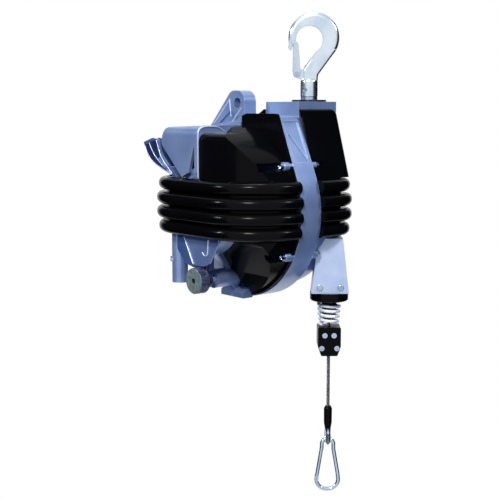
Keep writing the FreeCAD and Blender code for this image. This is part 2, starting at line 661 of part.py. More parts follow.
# --- swivel and hook --------------------------------------------------------------------------
def hook_body():
    """Forged bowl, back and neck drawn face on: u across, z up; shank below."""
    outer_u, outer_z, outer_r = 6.5, 251.0, 37.5
    disc = rod("Y", (outer_u, outer_z), outer_r, -HOOK_THICK / 2, HOOK_THICK / 2)
    disc = soften(disc, 6.5, lambda e: len(e.Vertexes) == 1)
    neck = prism("XZ", -HOOK_THICK / 2, HOOK_THICK / 2,
                 [(-8, SHANK_TOP - 2), (12.5, SHANK_TOP - 2), (13, 197, 6), (40, 234), (20, 248), (-8, 208)])
    neck = soften(neck, 4.0, lambda e: abs(e.BoundBox.YLength) < 1e-6 and e.BoundBox.ZMin > SHANK_TOP
                  and e.BoundBox.XMax > 18)
    lug = prism("XZ", -LUG_HALF, LUG_HALF, [(LATCH_PIVOT[0] - 4.6, LATCH_PIVOT[1] - 4.6, 4.5), (-8,
            SHANK_TOP - 2),
                                  (-2, 205), (LATCH_PIVOT[0] + 3, LATCH_PIVOT[1] + 6, 4),
                                      (LATCH_PIVOT[0] - 4.6, LATCH_PIVOT[1] + 5, 4.5)])
    tip = prism("XZ", 0.8 - HOOK_THICK / 2, HOOK_THICK / 2 - 0.8, [(-29, 256), (-31.2, 236, 3),
            (-27.4, 232.7, 2),
                                                                    (-18, 234), (-18, 256)])
    body = disc.fuse([neck, lug, tip])
    bowl = rod("Y", (0, BOWL_Z), BOWL_R, -20, 20)
    throat = prism("XZ", -20, 20, [(-17.0, BOWL_Z - 5), (BOWL_R, BOWL_Z), (15.5, 238, 6), (-9.5, 206.5),
            (-40, 206.5), (-40, 232.5),
                                   (-27.0, 232.5), (-24.6, 240), (-23.3, 246.6, 1), (-18.0, 247.6)])
    foot = prism("XZ", -20, 20, [(-40, 232.5), (-32.2, 232.5), (-32.2, 190), (-40, 190)])
    body = carve(body, [throat, bowl, foot])
    body = body.cut(box(-60, -14.2, -20, 20, 204.5, 232.4).cut(rod("Y", LATCH_PIVOT, 5.2, -6, 6)))
    shank = spun([(0, SHANK_BOTTOM), (SHANK_R, SHANK_BOTTOM, 1), (SHANK_R, SHANK_TOP, 5), (0,
            SHANK_TOP + 2)], 0, 0)
    body = body.fuse([shank])
    socket = rod("Z", (0, 0), STEM_TOP_R, SHANK_BOTTOM - 1, SHANK_TOP - 4)
    latch_hole = rod("Y", LATCH_PIVOT, LATCH_PIN_R, -20, 20)
    return carve(body, [socket, latch_hole, pin_hole()])


def stem_pin():
    """Roll pin that locks the stem in the hook's shank."""
    pin = rod("Y", (0, 175.0), STEM_PIN_R, -SHANK_R + 0.6, SHANK_R - 0.6)
    pin.rotate(V(0, 0, 0), V(0, 0, 1), -29)
    return pin


def pin_hole():
    hole = rod("Y", (0, 175.0), STEM_PIN_R, -16, 16)
    hole.rotate(V(0, 0, 0), V(0, 0, 1), -29)
    return hole


def swivel_stem():
    stem = spun([(0, STEM_END), (THREAD_R, STEM_END, 1), (THREAD_R, NUT_POCKET_TOP - THRUST), (STEM_R,
            NUT_POCKET_TOP - THRUST), (STEM_R, HEAD_TOP + WASHER_THICK),
                 (12.5, HEAD_TOP + WASHER_THICK), (12.5, SHANK_BOTTOM), (STEM_TOP_R, SHANK_BOTTOM),
                     (STEM_TOP_R, SHANK_TOP - 4.1),
                 (0, SHANK_TOP - 4.1)], 0, 0)
    return stem.cut(pin_hole())


def swivel_washer():
    ring = rod("Z", (0, 0), WASHER_R, HEAD_TOP, HEAD_TOP + WASHER_THICK)
    return ring.cut(rod("Z", (0, 0), STEM_R + STEM_CLEARANCE, HEAD_TOP - 1, HEAD_TOP + 9))


def thrust_bearing():
    """Two washers with a row of balls between, under the head block's bore."""
    top = NUT_POCKET_TOP
    low = top - THRUST
    plates = spun([(STEM_R + STEM_CLEARANCE, low), (20, low), (20, low + 2.4), (18, low + 2.6), (18,
            top - 2.6),
                   (20, top - 2.4), (20, top), (STEM_R + STEM_CLEARANCE, top)], 0, 0)
    return plates


def stem_nut():
    low = NUT_POCKET_TOP - THRUST - 15
    nut = hexagon_prism("XY", low, NUT_POCKET_TOP - THRUST, (0, 0), 17.5)
    return nut.cut(rod("Z", (0, 0), THREAD_R, 90, 140))


def latch():
    """Folded sheet latch: two cheeks on the lug and a back that closes the throat."""
    pu, pz = LATCH_PIVOT
    side = [(pu - 4.2, pz - 3.4, 3.5), (pu + 4.2, pz - 4.2, 3.5), (pu + 5.6, pz + 4), (-16.5, 242),
            (-18.6, 245.2, 1.5), (-22.6, 245.6, 1.0), (-24.1, 240.5), (pu - 5.6, pz + 3)]
    block = prism("XZ", -LATCH_HALF, LATCH_HALF, side)
    inner = prism("XZ", LATCH_SHEET - LATCH_HALF, LATCH_HALF - LATCH_SHEET, [(pu - 7.0, pz - 9),
            (pu + 12, pz - 9), (pu + 12, 260), (-20.4, 260), (-22.2, 240), (pu - 3.6, pz + 8), (pu - 7.0,
                pz + 6)])
    block = block.cut([inner])
    return block.cut([rod("Y", LATCH_PIVOT, LATCH_PIN_R + 0.05, -20, 20)])


def latch_pin():
    pin = rod("Y", LATCH_PIVOT, LATCH_PIN_R, -LATCH_HALF - 1, LATCH_HALF + 1)
    heads = [rod("Y", LATCH_PIVOT, 3.4, -LATCH_HALF - 1.5, -LATCH_HALF), rod("Y", LATCH_PIVOT, 3.4,
            LATCH_HALF, LATCH_HALF + 1.5)]
    return pin.fuse(heads)


def latch_spring():
    """Torsion coil on the latch's pin, one winding each side of the lug."""
    coils = [rod("Y", LATCH_PIVOT, 3.6, LUG_HALF, LATCH_HALF - LATCH_SHEET - 0.2),
             rod("Y", LATCH_PIVOT, 3.6, 0.2 + LATCH_SHEET - LATCH_HALF, -LUG_HALF)]
    bore = rod("Y", LATCH_PIVOT, LATCH_PIN_R, -20, 20)
    return Part.makeCompound([coil.cut(bore) for coil in coils])


# --- drum -------------------------------------------------------------------------------------
def rope_drum():
    first = ROPE_X - (WOUND_TURNS - 1) * ROPE_PITCH
    core_r = DRUM_PITCH_R - ROPE_R
    solid = turned([(DRUM_LEFT, HUB_R - 1), (DRUM_LEFT, FLANGE_R), (DRUM_LEFT + FLANGE_WALL, FLANGE_R),
                    (DRUM_LEFT + FLANGE_WALL, core_r), (DRUM_RIGHT - FLANGE_WALL, core_r),
                        (DRUM_RIGHT - FLANGE_WALL, FLANGE_R),
                    (DRUM_RIGHT, FLANGE_R), (DRUM_RIGHT, HUB_R - 1)])
    hollow = turned([(DRUM_LEFT + 6, HUB_R + 7), (DRUM_LEFT + 6, core_r - 6, 4), (DRUM_RIGHT + 1, core_r - 6),
                     (DRUM_RIGHT + 1, HUB_R + 7)])
    windows = [rod("X", on_circle(66, 60 * k + 30), 14, DRUM_LEFT - 1, DRUM_LEFT + 10) for k in range(6)]
    grooves = [Part.makeTorus(DRUM_PITCH_R, ROPE_R + 0.2, V(first + k * ROPE_PITCH, 0, 0), V(1, 0, 0))
               for k in range(WOUND_TURNS)]
    bore = rod("X", (0, 0), BEARING_R, DRUM_LEFT - 1, DRUM_RIGHT + 1)
    return solid.cut([hollow, bore] + windows + grooves)


def rope_turns():
    first = ROPE_X - (WOUND_TURNS - 1) * ROPE_PITCH
    rings = [Part.makeTorus(DRUM_PITCH_R, ROPE_R, V(first + k * ROPE_PITCH, 0, 0), V(1, 0, 0))
             for k in range(WOUND_TURNS)]
    return Part.makeCompound(rings)


def spring_barrel():
    solid = turned([(BARREL_LEFT, BEARING_R), (BARREL_LEFT, BARREL_R), (BARREL_RIGHT, BARREL_R),
                    (BARREL_RIGHT, BARREL_R - BARREL_WALL), (BARREL_LEFT + BARREL_WALL,
                        BARREL_R - BARREL_WALL),
                    (BARREL_LEFT + BARREL_WALL, HUB_R + 5), (BARREL_LEFT + 12, HUB_R + 5),
                        (BARREL_LEFT + 12, BEARING_R)])
    holes = [rod("X", on_circle(abs(KNOB_Z), 30 * k), PIN_R + 0.6, BARREL_LEFT - 1, BARREL_LEFT + 5)
            for k in range(12)]
    return solid.cut(holes)


def barrel_lid():
    """Right wall of the barrel, with the neck that joins it to the rope drum."""
    solid = turned([(BARREL_RIGHT, BEARING_R), (BARREL_RIGHT, BARREL_R), (BARREL_RIGHT + 1.5, BARREL_R),
            (BARREL_RIGHT + 4, BARREL_R - 3),
                    (BARREL_RIGHT + 4, HUB_R + 8), (DRUM_LEFT, HUB_R + 8), (DRUM_LEFT, BEARING_R)])
    return solid


def ratchet_ring():
    corners = []
    for tooth in range(RATCHET_TEETH):
        step = 360.0 / RATCHET_TEETH
        corners.append(on_circle(RATCHET_ROOT_R, tooth * step))
        corners.append(on_circle(RATCHET_R, tooth * step + 1.5))
        corners.append(on_circle(RATCHET_R - 0.5, tooth * step + 4.0))
    ring = prism("YZ", BARREL_LEFT - RATCHET_WIDTH, BARREL_LEFT, corners)
    ring.rotate(V(0, 0, 0), V(1, 0, 0), RATCHET_PHASE)
    return ring.cut([rod("X", (0, 0), RATCHET_ROOT_R - 12, -40, 10)])


def arbor_shaft():
    shaft = rod("X", (0, 0), ARBOR_R, GEAR_CAVITY_LEFT + 1, CUP_END)
    core = rod("X", (0, 0), 30.0, BARREL_LEFT + 14.5, BARREL_RIGHT - 2.5)
    return fuse(shaft, core)


def drum_bearings():
    spots = ((BARREL_LEFT, BARREL_LEFT + BEARING_WIDTH), (DRUM_RIGHT - BEARING_WIDTH, DRUM_RIGHT))
    rings = []
    for start, end in spots:
        outer = rod("X", (0, 0), BEARING_R, start, end)
        rings.append(outer.cut(rod("X", (0, 0), ARBOR_R + 0.05, start - 1, end + 1)))
    return Part.makeCompound(rings)


def arbor_bushes():
    ends = ((GEAR_CAVITY_RIGHT + 0.5, -22), (DRUM_RIGHT + 1, CUP_END))
    rings = []
    for start, end in ends:
        ring = rod("X", (0, 0), BUSH_OUT_R, start, end)
        rings.append(ring.cut(rod("X", (0, 0), ARBOR_R + 0.05, start - 1, end + 1)))
    return Part.makeCompound(rings)


def gear_lid():
    """Round lid of the gear housing, with a raised rim."""
    radius = wheel_tip_r() + 1.5
    lid = rod("X", (0, 0), radius, GEAR_HOUSING_LEFT, GEAR_CAVITY_LEFT)
    dish = rod("X", (0, 0), radius - 8, GEAR_HOUSING_LEFT - 1, GEAR_HOUSING_LEFT + 1.2)
    return lid.cut([dish])


def mainspring():
    """Flat strip wound as half turns about two alternating centres."""
    inner_r = 32.0
    outer_r = BARREL_R - BARREL_WALL - 1.0
    step = (outer_r - inner_r - STRIP) / SPRING_TURNS
    near, far = [], []
    radius = inner_r
    side = 1
    centre = 0.0
    for _ in range(2 * SPRING_TURNS):
        for edges, r in ((near, radius), (far, radius + STRIP)):
            a = V(0, centre + side * r, 0)
            b = V(0, centre, side * r)
            c = V(0, centre - side * r, 0)
            edges.append(Part.Arc(a, b, c).toShape())
        radius += step / 2
        centre += side * step / 2
        side = -side
    start = Part.LineSegment(near[0].Vertexes[0].Point, far[0].Vertexes[0].Point).toShape()
    end = Part.LineSegment(near[-1].Vertexes[-1].Point, far[-1].Vertexes[-1].Point).toShape()
    face = Part.Face(Part.Wire(Part.__sortEdges__(near + far + [start, end])))
    strip = face.extrude(V(SPRING_WIDTH - 10, 0, 0))
    strip.translate(V(BARREL_LEFT + 13, 0, 0))
    return strip


def worm_wheel():
    corners = []
    for tooth in range(WHEEL_TEETH):
        step = 360.0 / WHEEL_TEETH
        root = wheel_tip_r() - 2.25 * MODULE
        corners.append(on_circle(root, tooth * step - 0.30 * step))
        corners.append(on_circle(wheel_tip_r(), tooth * step - 0.12 * step))
        corners.append(on_circle(wheel_tip_r(), tooth * step + 0.12 * step))
        corners.append(on_circle(root, tooth * step + 0.30 * step))
    wheel = prism("YZ", WORM_X - WHEEL_FACE / 2, WORM_X + WHEEL_FACE / 2, corners)
    lightening = [rod("X", on_circle(34, 60 * k), 9, WORM_X - 10, WORM_X + 10) for k in range(6)]
    throat = rod("Z", (WORM_X, worm_y()), WORM_PITCH_R - MODULE + 0.4, -60, 60)
    return wheel.cut([rod("X", (0, 0), ARBOR_R, -90, 0), throat] + lightening)


def worm():
    """Root cylinder with the thread as rings at the wheel's pitch, and a hexagon socket below."""
    root_r = WORM_PITCH_R - 1.25 * MODULE
    screw = rod("Z", (0, 0), root_r - 0.3, -30, 21)
    journals = [rod("Z", (0, 0), WORM_TIP_R + 0.25, -42, -30), rod("Z", (0, 0), WORM_TIP_R + 0.25, 20.5,
            TUBE_TOP - 3.5)]
    screw = screw.fuse(journals)
    socket = hexagon_prism("XY", -43, -34, (0, 0), 5.0)
    screw = screw.cut([socket])
    screw.translate(V(WORM_X, worm_y(), 0))
    return screw


# --- locks ------------------------------------------------------------------------------------
def lock_lever():
    """Curved channel lever with a light pad, on a hub at its lower end."""
    y, z = LEVER_PIVOT
    right = LEVER_X + LEVER_WIDTH
    outer = [(y - 4, z - 2), (y + 5, z + 7.5), (y + 12, z + 10.5, 10), (y + 30, z + 15, 30), (y + 62,
            z + 28, 40),
             (y + 80, z + 55, 2), (y + 56, z + 62, 3), (y + 41, z + 60, 4), (y + 33, z + 36, 40), (y - 4,
                 z + 8, 4)]
    blade = prism("YZ", LEVER_X, right, outer)
    channel = prism("YZ", LEVER_X + 3, right - 3,
                    [(y + 8, z + 15, 2), (y + 18, z + 15.5, 10), (y + 60, z + 32, 36), (y + 82, z + 68),
                     (y + 30, z + 80), (y + 28, z + 40, 40)])
    hub = rod("X", LEVER_PIVOT, LEVER_HUB_R, LEVER_X, right)
    bore = rod("X", LEVER_PIVOT, LEVER_SHAFT_R, -100, 0)
    return blade.cut([channel]).fuse([hub]).cut([bore]).removeSplitter()


def lever_shaft():
    return rod("X", LEVER_PIVOT, LEVER_SHAFT_R, LEVER_X - 0.5, BARREL_LEFT - 2)


def lock_pawl():
    """Pawl on the inner end of the lever's shaft; it swings into the ratchet ring."""
    y, z = LEVER_PIVOT
    start = BARREL_LEFT - RATCHET_WIDTH + 0.5
    hub = rod("X", (0, 0), 8.0, start, BARREL_LEFT - 2)
    nose = prism("YZ", start, BARREL_LEFT - 2, [(-2, -6), (-PAWL_REACH, -1.6), (-PAWL_REACH, 1), (-2, 6)])
    pawl = hub.fuse([nose])
    pawl.rotate(V(0, 0, 0), V(1, 0, 0), math.degrees(math.atan2(z, y)) + PAWL_ANGLE)
    pawl.translate(V(0, y, z))
    return pawl.cut([rod("X", LEVER_PIVOT, LEVER_SHAFT_R, -100, 0)])


def lock_knob():
    knob = rod("X", (0, KNOB_Z), KNOB_R, KNOB_LEFT, KNOB_LEFT + KNOB_LENGTH)
    knob = soften(knob, 1.2, lambda e: len(e.Vertexes) == 1)
    teeth = [rod("X", shifted(on_circle(KNOB_R + 0.3, 360 / 40 * k), KNOB_Z), 0.9, KNOB_LEFT + 2,
            KNOB_LEFT + KNOB_LENGTH - 2)
             for k in range(40)]
    neck = rod("X", (0, KNOB_Z), NECK_R, KNOB_LEFT + KNOB_LENGTH, KNOB_LEFT + KNOB_LENGTH + NECK_LENGTH)
    socket = hexagon_prism("YZ", KNOB_LEFT - 1, KNOB_LEFT + 8, (0, KNOB_Z), 4.6)
    return knob.cut([socket] + teeth).fuse([neck])


def shifted(spot, dz):
    return (spot[0], spot[1] + dz)


def lock_pin():
    start = KNOB_LEFT + KNOB_LENGTH + NECK_LENGTH
    return rod("X", (0, KNOB_Z), PIN_R, start, BARREL_LEFT - 2.5)


# --- rope guide and rope end ------------------------------------------------------------------
def rope_guide():
    front = -GUIDE_HALF_DEPTH
    solid = prism("XZ", front, GUIDE_HALF_DEPTH, [(-GUIDE_HALF_BOTTOM, GUIDE_BOTTOM), (GUIDE_HALF_BOTTOM,
            GUIDE_BOTTOM),
                                                   (GUIDE_HALF_TOP, GUIDE_TOP), (-GUIDE_HALF_TOP, GUIDE_TOP)])
    solid = soften(solid, 9.0, lambda e: e.BoundBox.YLength < 1e-6 and e.BoundBox.ZLength > 50
                   and e.BoundBox.YMin > 0)
    throat = spun([(0, GUIDE_TOP + 1), (15, GUIDE_TOP + 1), (15, -80, 6), (BUSH_R - 4, -109), (0, -109)],
            0, 0)
    seat = rod("Z", (0, 0), BUSH_R, GUIDE_BOTTOM - 1, -109)
    screws = [rod("Y", spot, 2.0, -GUIDE_HALF_DEPTH - 1, -GUIDE_HALF_DEPTH + 2.5)
            for spot in guide_screw_spots()]
    solid = turn_to_face(solid.cut([throat, seat] + screws), ROPE_X, ROPE_Y)
    cup = cup_body(0.1)
    ring = rod("X", (0, 0), RING_R + 0.2, 0, RING_WIDTH + RIGHT_EAR + 1)
    return solid.cut([cup, ring])


def guide_screw_spots():
    return [(-15.3, -112.0), (15.3, -112.0)]


def guide_plate():
    front = -GUIDE_HALF_DEPTH - PLATE_THICK
    plate = prism("XZ", front, -GUIDE_HALF_DEPTH, [(-GUIDE_HALF_BOTTOM, GUIDE_BOTTOM, 1),
            (GUIDE_HALF_BOTTOM, GUIDE_BOTTOM, 1),
                                                   (GUIDE_HALF_TOP, GUIDE_TOP, 3), (-GUIDE_HALF_TOP,
                                                       GUIDE_TOP, 3)])
    holes = [rod("Y", spot, 2.2, front - 1, -GUIDE_HALF_DEPTH + 1) for spot in guide_screw_spots()]
    plate = turn_to_face(plate.cut(holes), ROPE_X, ROPE_Y)
    cup = cup_body(0.1)
    ring = rod("X", (0, 0), RING_R + 0.2, 0, RING_WIDTH + RIGHT_EAR + 1)
    return plate.cut([cup, ring])


def guide_screws():
    front = -GUIDE_HALF_DEPTH - PLATE_THICK
    screws = []
    for spot in guide_screw_spots():
        head = soften(rod("Y", spot, 4.6, front - 2.2, front), 1.2, lambda e: e.BoundBox.YMax < front - 1)
        shank = rod("Y", spot, 2.0, front, front + 4.5)
        slot = box(spot[0] - 0.6, spot[0] + 0.6, front - 3, front - 1.2, spot[1] - 6, spot[1] + 6)
        screws.append(head.fuse([shank]).cut([slot]))
    return turn_to_face(Part.makeCompound(screws), ROPE_X, ROPE_Y)


def guide_bush():
    return spun([(ROPE_HOLE_R + 3, -109.2), (BUSH_R - 5, -109.2), (BUSH_R - 0.05, -109.2), (BUSH_R - 0.05,
            GUIDE_BOTTOM),
                 (ROPE_HOLE_R, GUIDE_BOTTOM), (ROPE_HOLE_R, -113)], ROPE_X, ROPE_Y)


def buffer_block():
    bottom = GUIDE_BOTTOM - BUFFER_THICK
    return spun([(ROPE_HOLE_R, GUIDE_BOTTOM), (BUFFER_R, GUIDE_BOTTOM), (BUFFER_R, bottom, 3),
            (ROPE_HOLE_R, bottom)],
                ROPE_X, ROPE_Y)


def buffer_core():
    top = GUIDE_BOTTOM - BUFFER_THICK
    return spun([(ROPE_HOLE_R, top), (CORE_R - 1.5, top), (CORE_R - 3, top - CORE_LENGTH, 2),
            (ROPE_HOLE_R, top - CORE_LENGTH)],
                ROPE_X, ROPE_Y)


def buffer_spring():
    """Conical coil as a stack of tilted rings joined into one helix sweep."""
    top = GUIDE_BOTTOM - BUFFER_THICK - COIL_WIRE_R - 0.1
    bottom = CLAMP_TOP + COIL_WIRE_R + 0.3
    height = top - bottom
    steps = int(COIL_TURNS * 8)
    spots = []
    for k in range(steps + 1):
        part = k / steps
        radius = COIL_TOP_R + (COIL_BOTTOM_R - COIL_TOP_R) * part
        angle = 2 * math.pi * COIL_TURNS * part
        spots.append(V(radius * math.cos(angle), radius * math.sin(angle), top - height * part))
    curve = Part.BSplineCurve()
    curve.interpolate(spots)
    path = Part.Wire([curve.toShape()])
    start, tangent = curve.value(curve.FirstParameter), curve.tangent(curve.FirstParameter)[0]
    section = Part.Wire([Part.Circle(start, tangent, COIL_WIRE_R).toShape()])
    coil = path.makePipeShell([section], True, True)
    coil.translate(V(ROPE_X, ROPE_Y, 0))
    return coil


def clamp_half(side):
    """One half of the stop clamp, split in the plane of its face."""
    outline = [(-CLAMP_HALF, CLAMP_TOP, 2), (CLAMP_HALF, CLAMP_TOP, 2), (CLAMP_HALF, -202, 3), (12,
            CLAMP_BOTTOM, 2),
               (-12, CLAMP_BOTTOM, 2), (-CLAMP_HALF, -202, 3)]
    if side < 0:
        half = prism("XZ", -CLAMP_DEPTH, -0.2, outline)
    else:
        half = prism("XZ", 0.2, CLAMP_DEPTH, outline)
    screws = [rod("Y", spot, 2.1, -20, 20) for spot in clamp_screw_spots()]
    sinks = [rod("Y", spot, 4.0, -20, -CLAMP_DEPTH + 3) for spot in clamp_screw_spots()]
    rope = rod("Z", (0, 0), ROPE_R, CLAMP_BOTTOM - 1, CLAMP_TOP + 1)
    return turn_to_face(half.cut([rope] + screws + sinks), ROPE_X, ROPE_Y)


def clamp_screw_spots():
    return [(-6.8, -185.0), (6.8, -185.0), (-11.2, -205.0 + 0.6), (11.2, -205.0 + 0.6)]


def clamp_screws():
    screws = []
    for spot in clamp_screw_spots():
        head = rod("Y", spot, 3.9, -CLAMP_DEPTH - 0.6, -CLAMP_DEPTH + 3)
        shank = rod("Y", spot, 2.05, -CLAMP_DEPTH + 3, CLAMP_DEPTH)
        socket = hexagon_prism("XZ", -CLAMP_DEPTH - 1, -CLAMP_DEPTH + 1.6, spot, 2.0)
        screws.append(head.fuse([shank]).cut([socket]))
    return turn_to_face(Part.makeCompound(screws), ROPE_X, ROPE_Y)


def rope_sleeve():
    return spun([(ROPE_R, SLEEVE_TOP), (4.4, SLEEVE_TOP - 0.2), (6.2, SLEEVE_TOP - 4, 2), (6.0,
            SLEEVE_BOTTOM + 8, 3),
                 (4.6, SLEEVE_BOTTOM), (ROPE_R, SLEEVE_BOTTOM)], ROPE_X, ROPE_Y)


def thimble():
    """Grooved steel eye with its axis across the rope."""
    edge = EYE_R + EYE_WALL + 1.8
    profile = [(EYE_R + 1.4, -3.8), (edge, -4.2), (edge, -3.2), (EYE_R + EYE_WALL, -1.6),
            (EYE_R + EYE_WALL, 1.6),
               (edge, 3.2), (edge, 4.2), (EYE_R + 1.4, 3.8), (EYE_R, 1.6, 2), (EYE_R, -1.6, 2)]
    ring = Part.Face(Part.Wire(chain("XY", profile))).revolve(V(0, 0, 0), V(0, 1, 0), 360)
    ring.translate(V(0, 0, EYE_Z))
    return turn_to_face(turned_quarter(ring), ROPE_X, ROPE_Y)


def turned_quarter(shape):
    shape = shape.copy()
    shape.rotate(V(0, 0, 0), V(0, 0, 1), 90)
    return shape


def rope_eye():
    """Rope round the thimble, up to the mouth of the sleeve."""
    ring = Part.makeTorus(EYE_R + EYE_WALL + 2.15, 2.1, V(0, 0, EYE_Z), V(0, 1, 0))
    ring = ring.cut([box(-20, 20, -20, 20, SLEEVE_BOTTOM - 0.1, SLEEVE_BOTTOM + 20)])
    return turn_to_face(turned_quarter(ring), ROPE_X, ROPE_Y)


def rope_upper():
    """Straight run from the drum to the stop clamp; it starts clear of the wound turns."""
    return rod("Z", (ROPE_X, ROPE_Y), ROPE_R, CLAMP_TOP, ROPE_START)


def rope_lower():
    return rod("Z", (ROPE_X, ROPE_Y), ROPE_R, SLEEVE_BOTTOM, CLAMP_BOTTOM)


def gate_pin():
    """Rivet at the foot of the gate, through the carabiner's fork."""
    return turn_to_face(rod("Y", gate_pivot(), GATE_PIN_R, -4.0, 4.0), ROPE_X, ROPE_Y)


def carabiner_route():
    """Centre line of the wire, face on: narrow ring above, wide bow below, open at the gate."""
    top = EYE_Z - EYE_R + WIRE_R + JOINT_GAP
    bottom = top + 2 * WIRE_R - CARABINER_LENGTH
    return [(-9.6, top - 18), (-8.8, top - 14, 8), (-8.8, top, 8.7), (8.8, top, 8.7), (8.8, top - 16, 14),
            (15.6, bottom + 24, 40), (18.0, bottom, 15.0), (-18.0, bottom, 15.0), (-16.6, bottom + 16.5)]


def gate_pivot():
    a, b = carabiner_route()[-1]
    return (a + 0.4, b + 2.6)


def carabiner():
    """Bent wire, with a small fork at its lower end for the gate."""
    path = Part.Wire(chain("XZ", carabiner_route(), closed=False))
    first, second = carabiner_route()[:2]
    start = point("XZ", *first)
    section = Part.Wire([Part.Circle(start, point("XZ", second[0], second[1]) - start, WIRE_R).toShape()])
    wire = path.makePipeShell([section], True, True)
    a, b = gate_pivot()
    cheeks = [prism("XZ", low, low + 1.3, [(a - 3, b + 2.6, 2.4), (a + 3, b + 2.6, 2.4), (a + 2.4, b - 7),
            (a - 3, b - 7)])
              for low in (-3.6, 2.3)]
    hole = rod("Y", (a, b), GATE_PIN_R, -9, 9)
    return turn_to_face(wire.fuse(cheeks).cut([hole]), ROPE_X, ROPE_Y)


def carabiner_gate():
    """Straight gate wire between the ends of the carabiner, flattened at its hinge."""
    route = carabiner_route()
    upper = point("XZ", *route[0])
    lower = point("XZ", *route[-1])
    along = (lower - upper).normalize()
    start = upper + along * 0.9
    solid = Part.makeCylinder(WIRE_R - 0.2, (lower - upper).Length - 1.8, start, along)
    a, b = gate_pivot()
    flats = [box(a - 8, a + 8, 2.2, 5, b - 8, b + 4.5), box(a - 8, a + 8, -5, -2.2, b - 8, b + 4.5)]
    hole = rod("Y", (a, b), GATE_PIN_R + 0.05, -9, 9)
    return turn_to_face(solid.cut(flats + [hole]), ROPE_X, ROPE_Y)


def build():
    os.makedirs("parts", exist_ok=True)
    save("drum_frame", drum_frame())
    save("spring_case", spring_case())
    save("left_cover", left_cover())
    save("right_cover", right_cover())
    save("left_bumper", left_bumper())
    save("right_bumper", right_bumper())
    save("case_bolts", case_bolts())
    save("case_nuts", case_nuts())
    save("suspension_hook", turn_to_face(hook_body(), ROPE_X, HOOK_Y))
    save("swivel_stem", turn_to_face(swivel_stem(), ROPE_X, HOOK_Y))
    save("hook_latch", turn_to_face(latch(), ROPE_X, HOOK_Y))
    save("latch_pin", turn_to_face(latch_pin(), ROPE_X, HOOK_Y))
    save("rope_drum", rope_drum())
    save("rope_turns", rope_turns())
    save("spring_barrel", spring_barrel())
    save("barrel_lid", barrel_lid())
    save("ratchet_ring", ratchet_ring())
    save("arbor_shaft", arbor_shaft())
    save("drum_bearings", drum_bearings())
    save("mainspring", mainspring())
    save("worm_wheel", worm_wheel())
    save("worm", worm())
    save("lock_lever", lock_lever())
    save("lever_shaft", lever_shaft())
    save("lock_pawl", lock_pawl())
    save("lock_knob", lock_knob())
    save("lock_pin", lock_pin())
    save("rope_guide", rope_guide())
    save("guide_plate", guide_plate())
    save("guide_screws", guide_screws())
    save("guide_bush", guide_bush())
    save("buffer_block", buffer_block())
    save("buffer_core", buffer_core())
    save("buffer_spring", buffer_spring())
    save("clamp_front", clamp_half(-1))
    save("clamp_back", clamp_half(1))
    save("clamp_screws", clamp_screws())
    save("rope_sleeve", rope_sleeve())
    save("thimble", thimble())
    save("rope_eye", rope_eye())
    save("tube_screw", tube_screw())
    save("rope_upper", rope_upper())
    save("rope_lower", rope_lower())
    save("gate_pin", gate_pin())
    save("arbor_bushes", arbor_bushes())
    save("gear_lid", gear_lid())
    save("swivel_washer", turn_to_face(swivel_washer(), ROPE_X, HOOK_Y))
    save("thrust_bearing", turn_to_face(thrust_bearing(), ROPE_X, HOOK_Y))
    save("stem_nut", turn_to_face(stem_nut(), ROPE_X, HOOK_Y))
    save("stem_pin", turn_to_face(stem_pin(), ROPE_X, HOOK_Y))
    save("latch_spring", turn_to_face(latch_spring(), ROPE_X, HOOK_Y))
    save("carabiner", carabiner())
    save("carabiner_gate", carabiner_gate())


if __name__ == "__main__":
    build()
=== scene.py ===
"""Dresses the spring balancer: paint, plastic, rubber, plated steel and a stranded wire rope.

Lengths in the classes are millimetres in the drawing's own frame, whose X axis is the drum's
axis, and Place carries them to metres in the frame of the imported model.
"""
from __future__ import annotations

import logging
import math
from dataclasses import dataclass, field
from enum import Enum
from typing import Iterable, Sequence, Union

import bpy
from mathutils import Matrix, Vector

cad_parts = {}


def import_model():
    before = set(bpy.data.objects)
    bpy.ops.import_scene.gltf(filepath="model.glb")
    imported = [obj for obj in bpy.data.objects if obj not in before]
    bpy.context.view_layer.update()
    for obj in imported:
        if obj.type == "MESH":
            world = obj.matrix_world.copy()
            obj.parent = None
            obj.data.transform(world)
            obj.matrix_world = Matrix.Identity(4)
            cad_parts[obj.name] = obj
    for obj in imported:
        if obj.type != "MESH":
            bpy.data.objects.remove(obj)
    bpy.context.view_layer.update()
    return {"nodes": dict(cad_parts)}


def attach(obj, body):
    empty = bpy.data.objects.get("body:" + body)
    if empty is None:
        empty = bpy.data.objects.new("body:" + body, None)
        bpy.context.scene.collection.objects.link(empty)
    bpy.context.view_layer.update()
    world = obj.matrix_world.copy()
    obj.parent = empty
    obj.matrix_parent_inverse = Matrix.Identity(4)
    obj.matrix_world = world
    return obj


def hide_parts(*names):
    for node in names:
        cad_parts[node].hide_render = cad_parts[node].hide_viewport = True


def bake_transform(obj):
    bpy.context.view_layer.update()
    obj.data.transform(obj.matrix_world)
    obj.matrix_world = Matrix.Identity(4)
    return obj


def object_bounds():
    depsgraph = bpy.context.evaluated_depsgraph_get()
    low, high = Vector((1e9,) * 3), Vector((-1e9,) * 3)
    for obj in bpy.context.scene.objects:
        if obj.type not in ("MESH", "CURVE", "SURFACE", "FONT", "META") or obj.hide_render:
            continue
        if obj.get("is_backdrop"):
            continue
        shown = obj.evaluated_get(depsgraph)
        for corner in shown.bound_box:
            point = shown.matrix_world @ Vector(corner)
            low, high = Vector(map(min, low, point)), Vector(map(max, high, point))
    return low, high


LOG = logging.getLogger("balancer")
Number = Union[float, "Signal"]
Colour = tuple[float, float, float]


MM = 1000


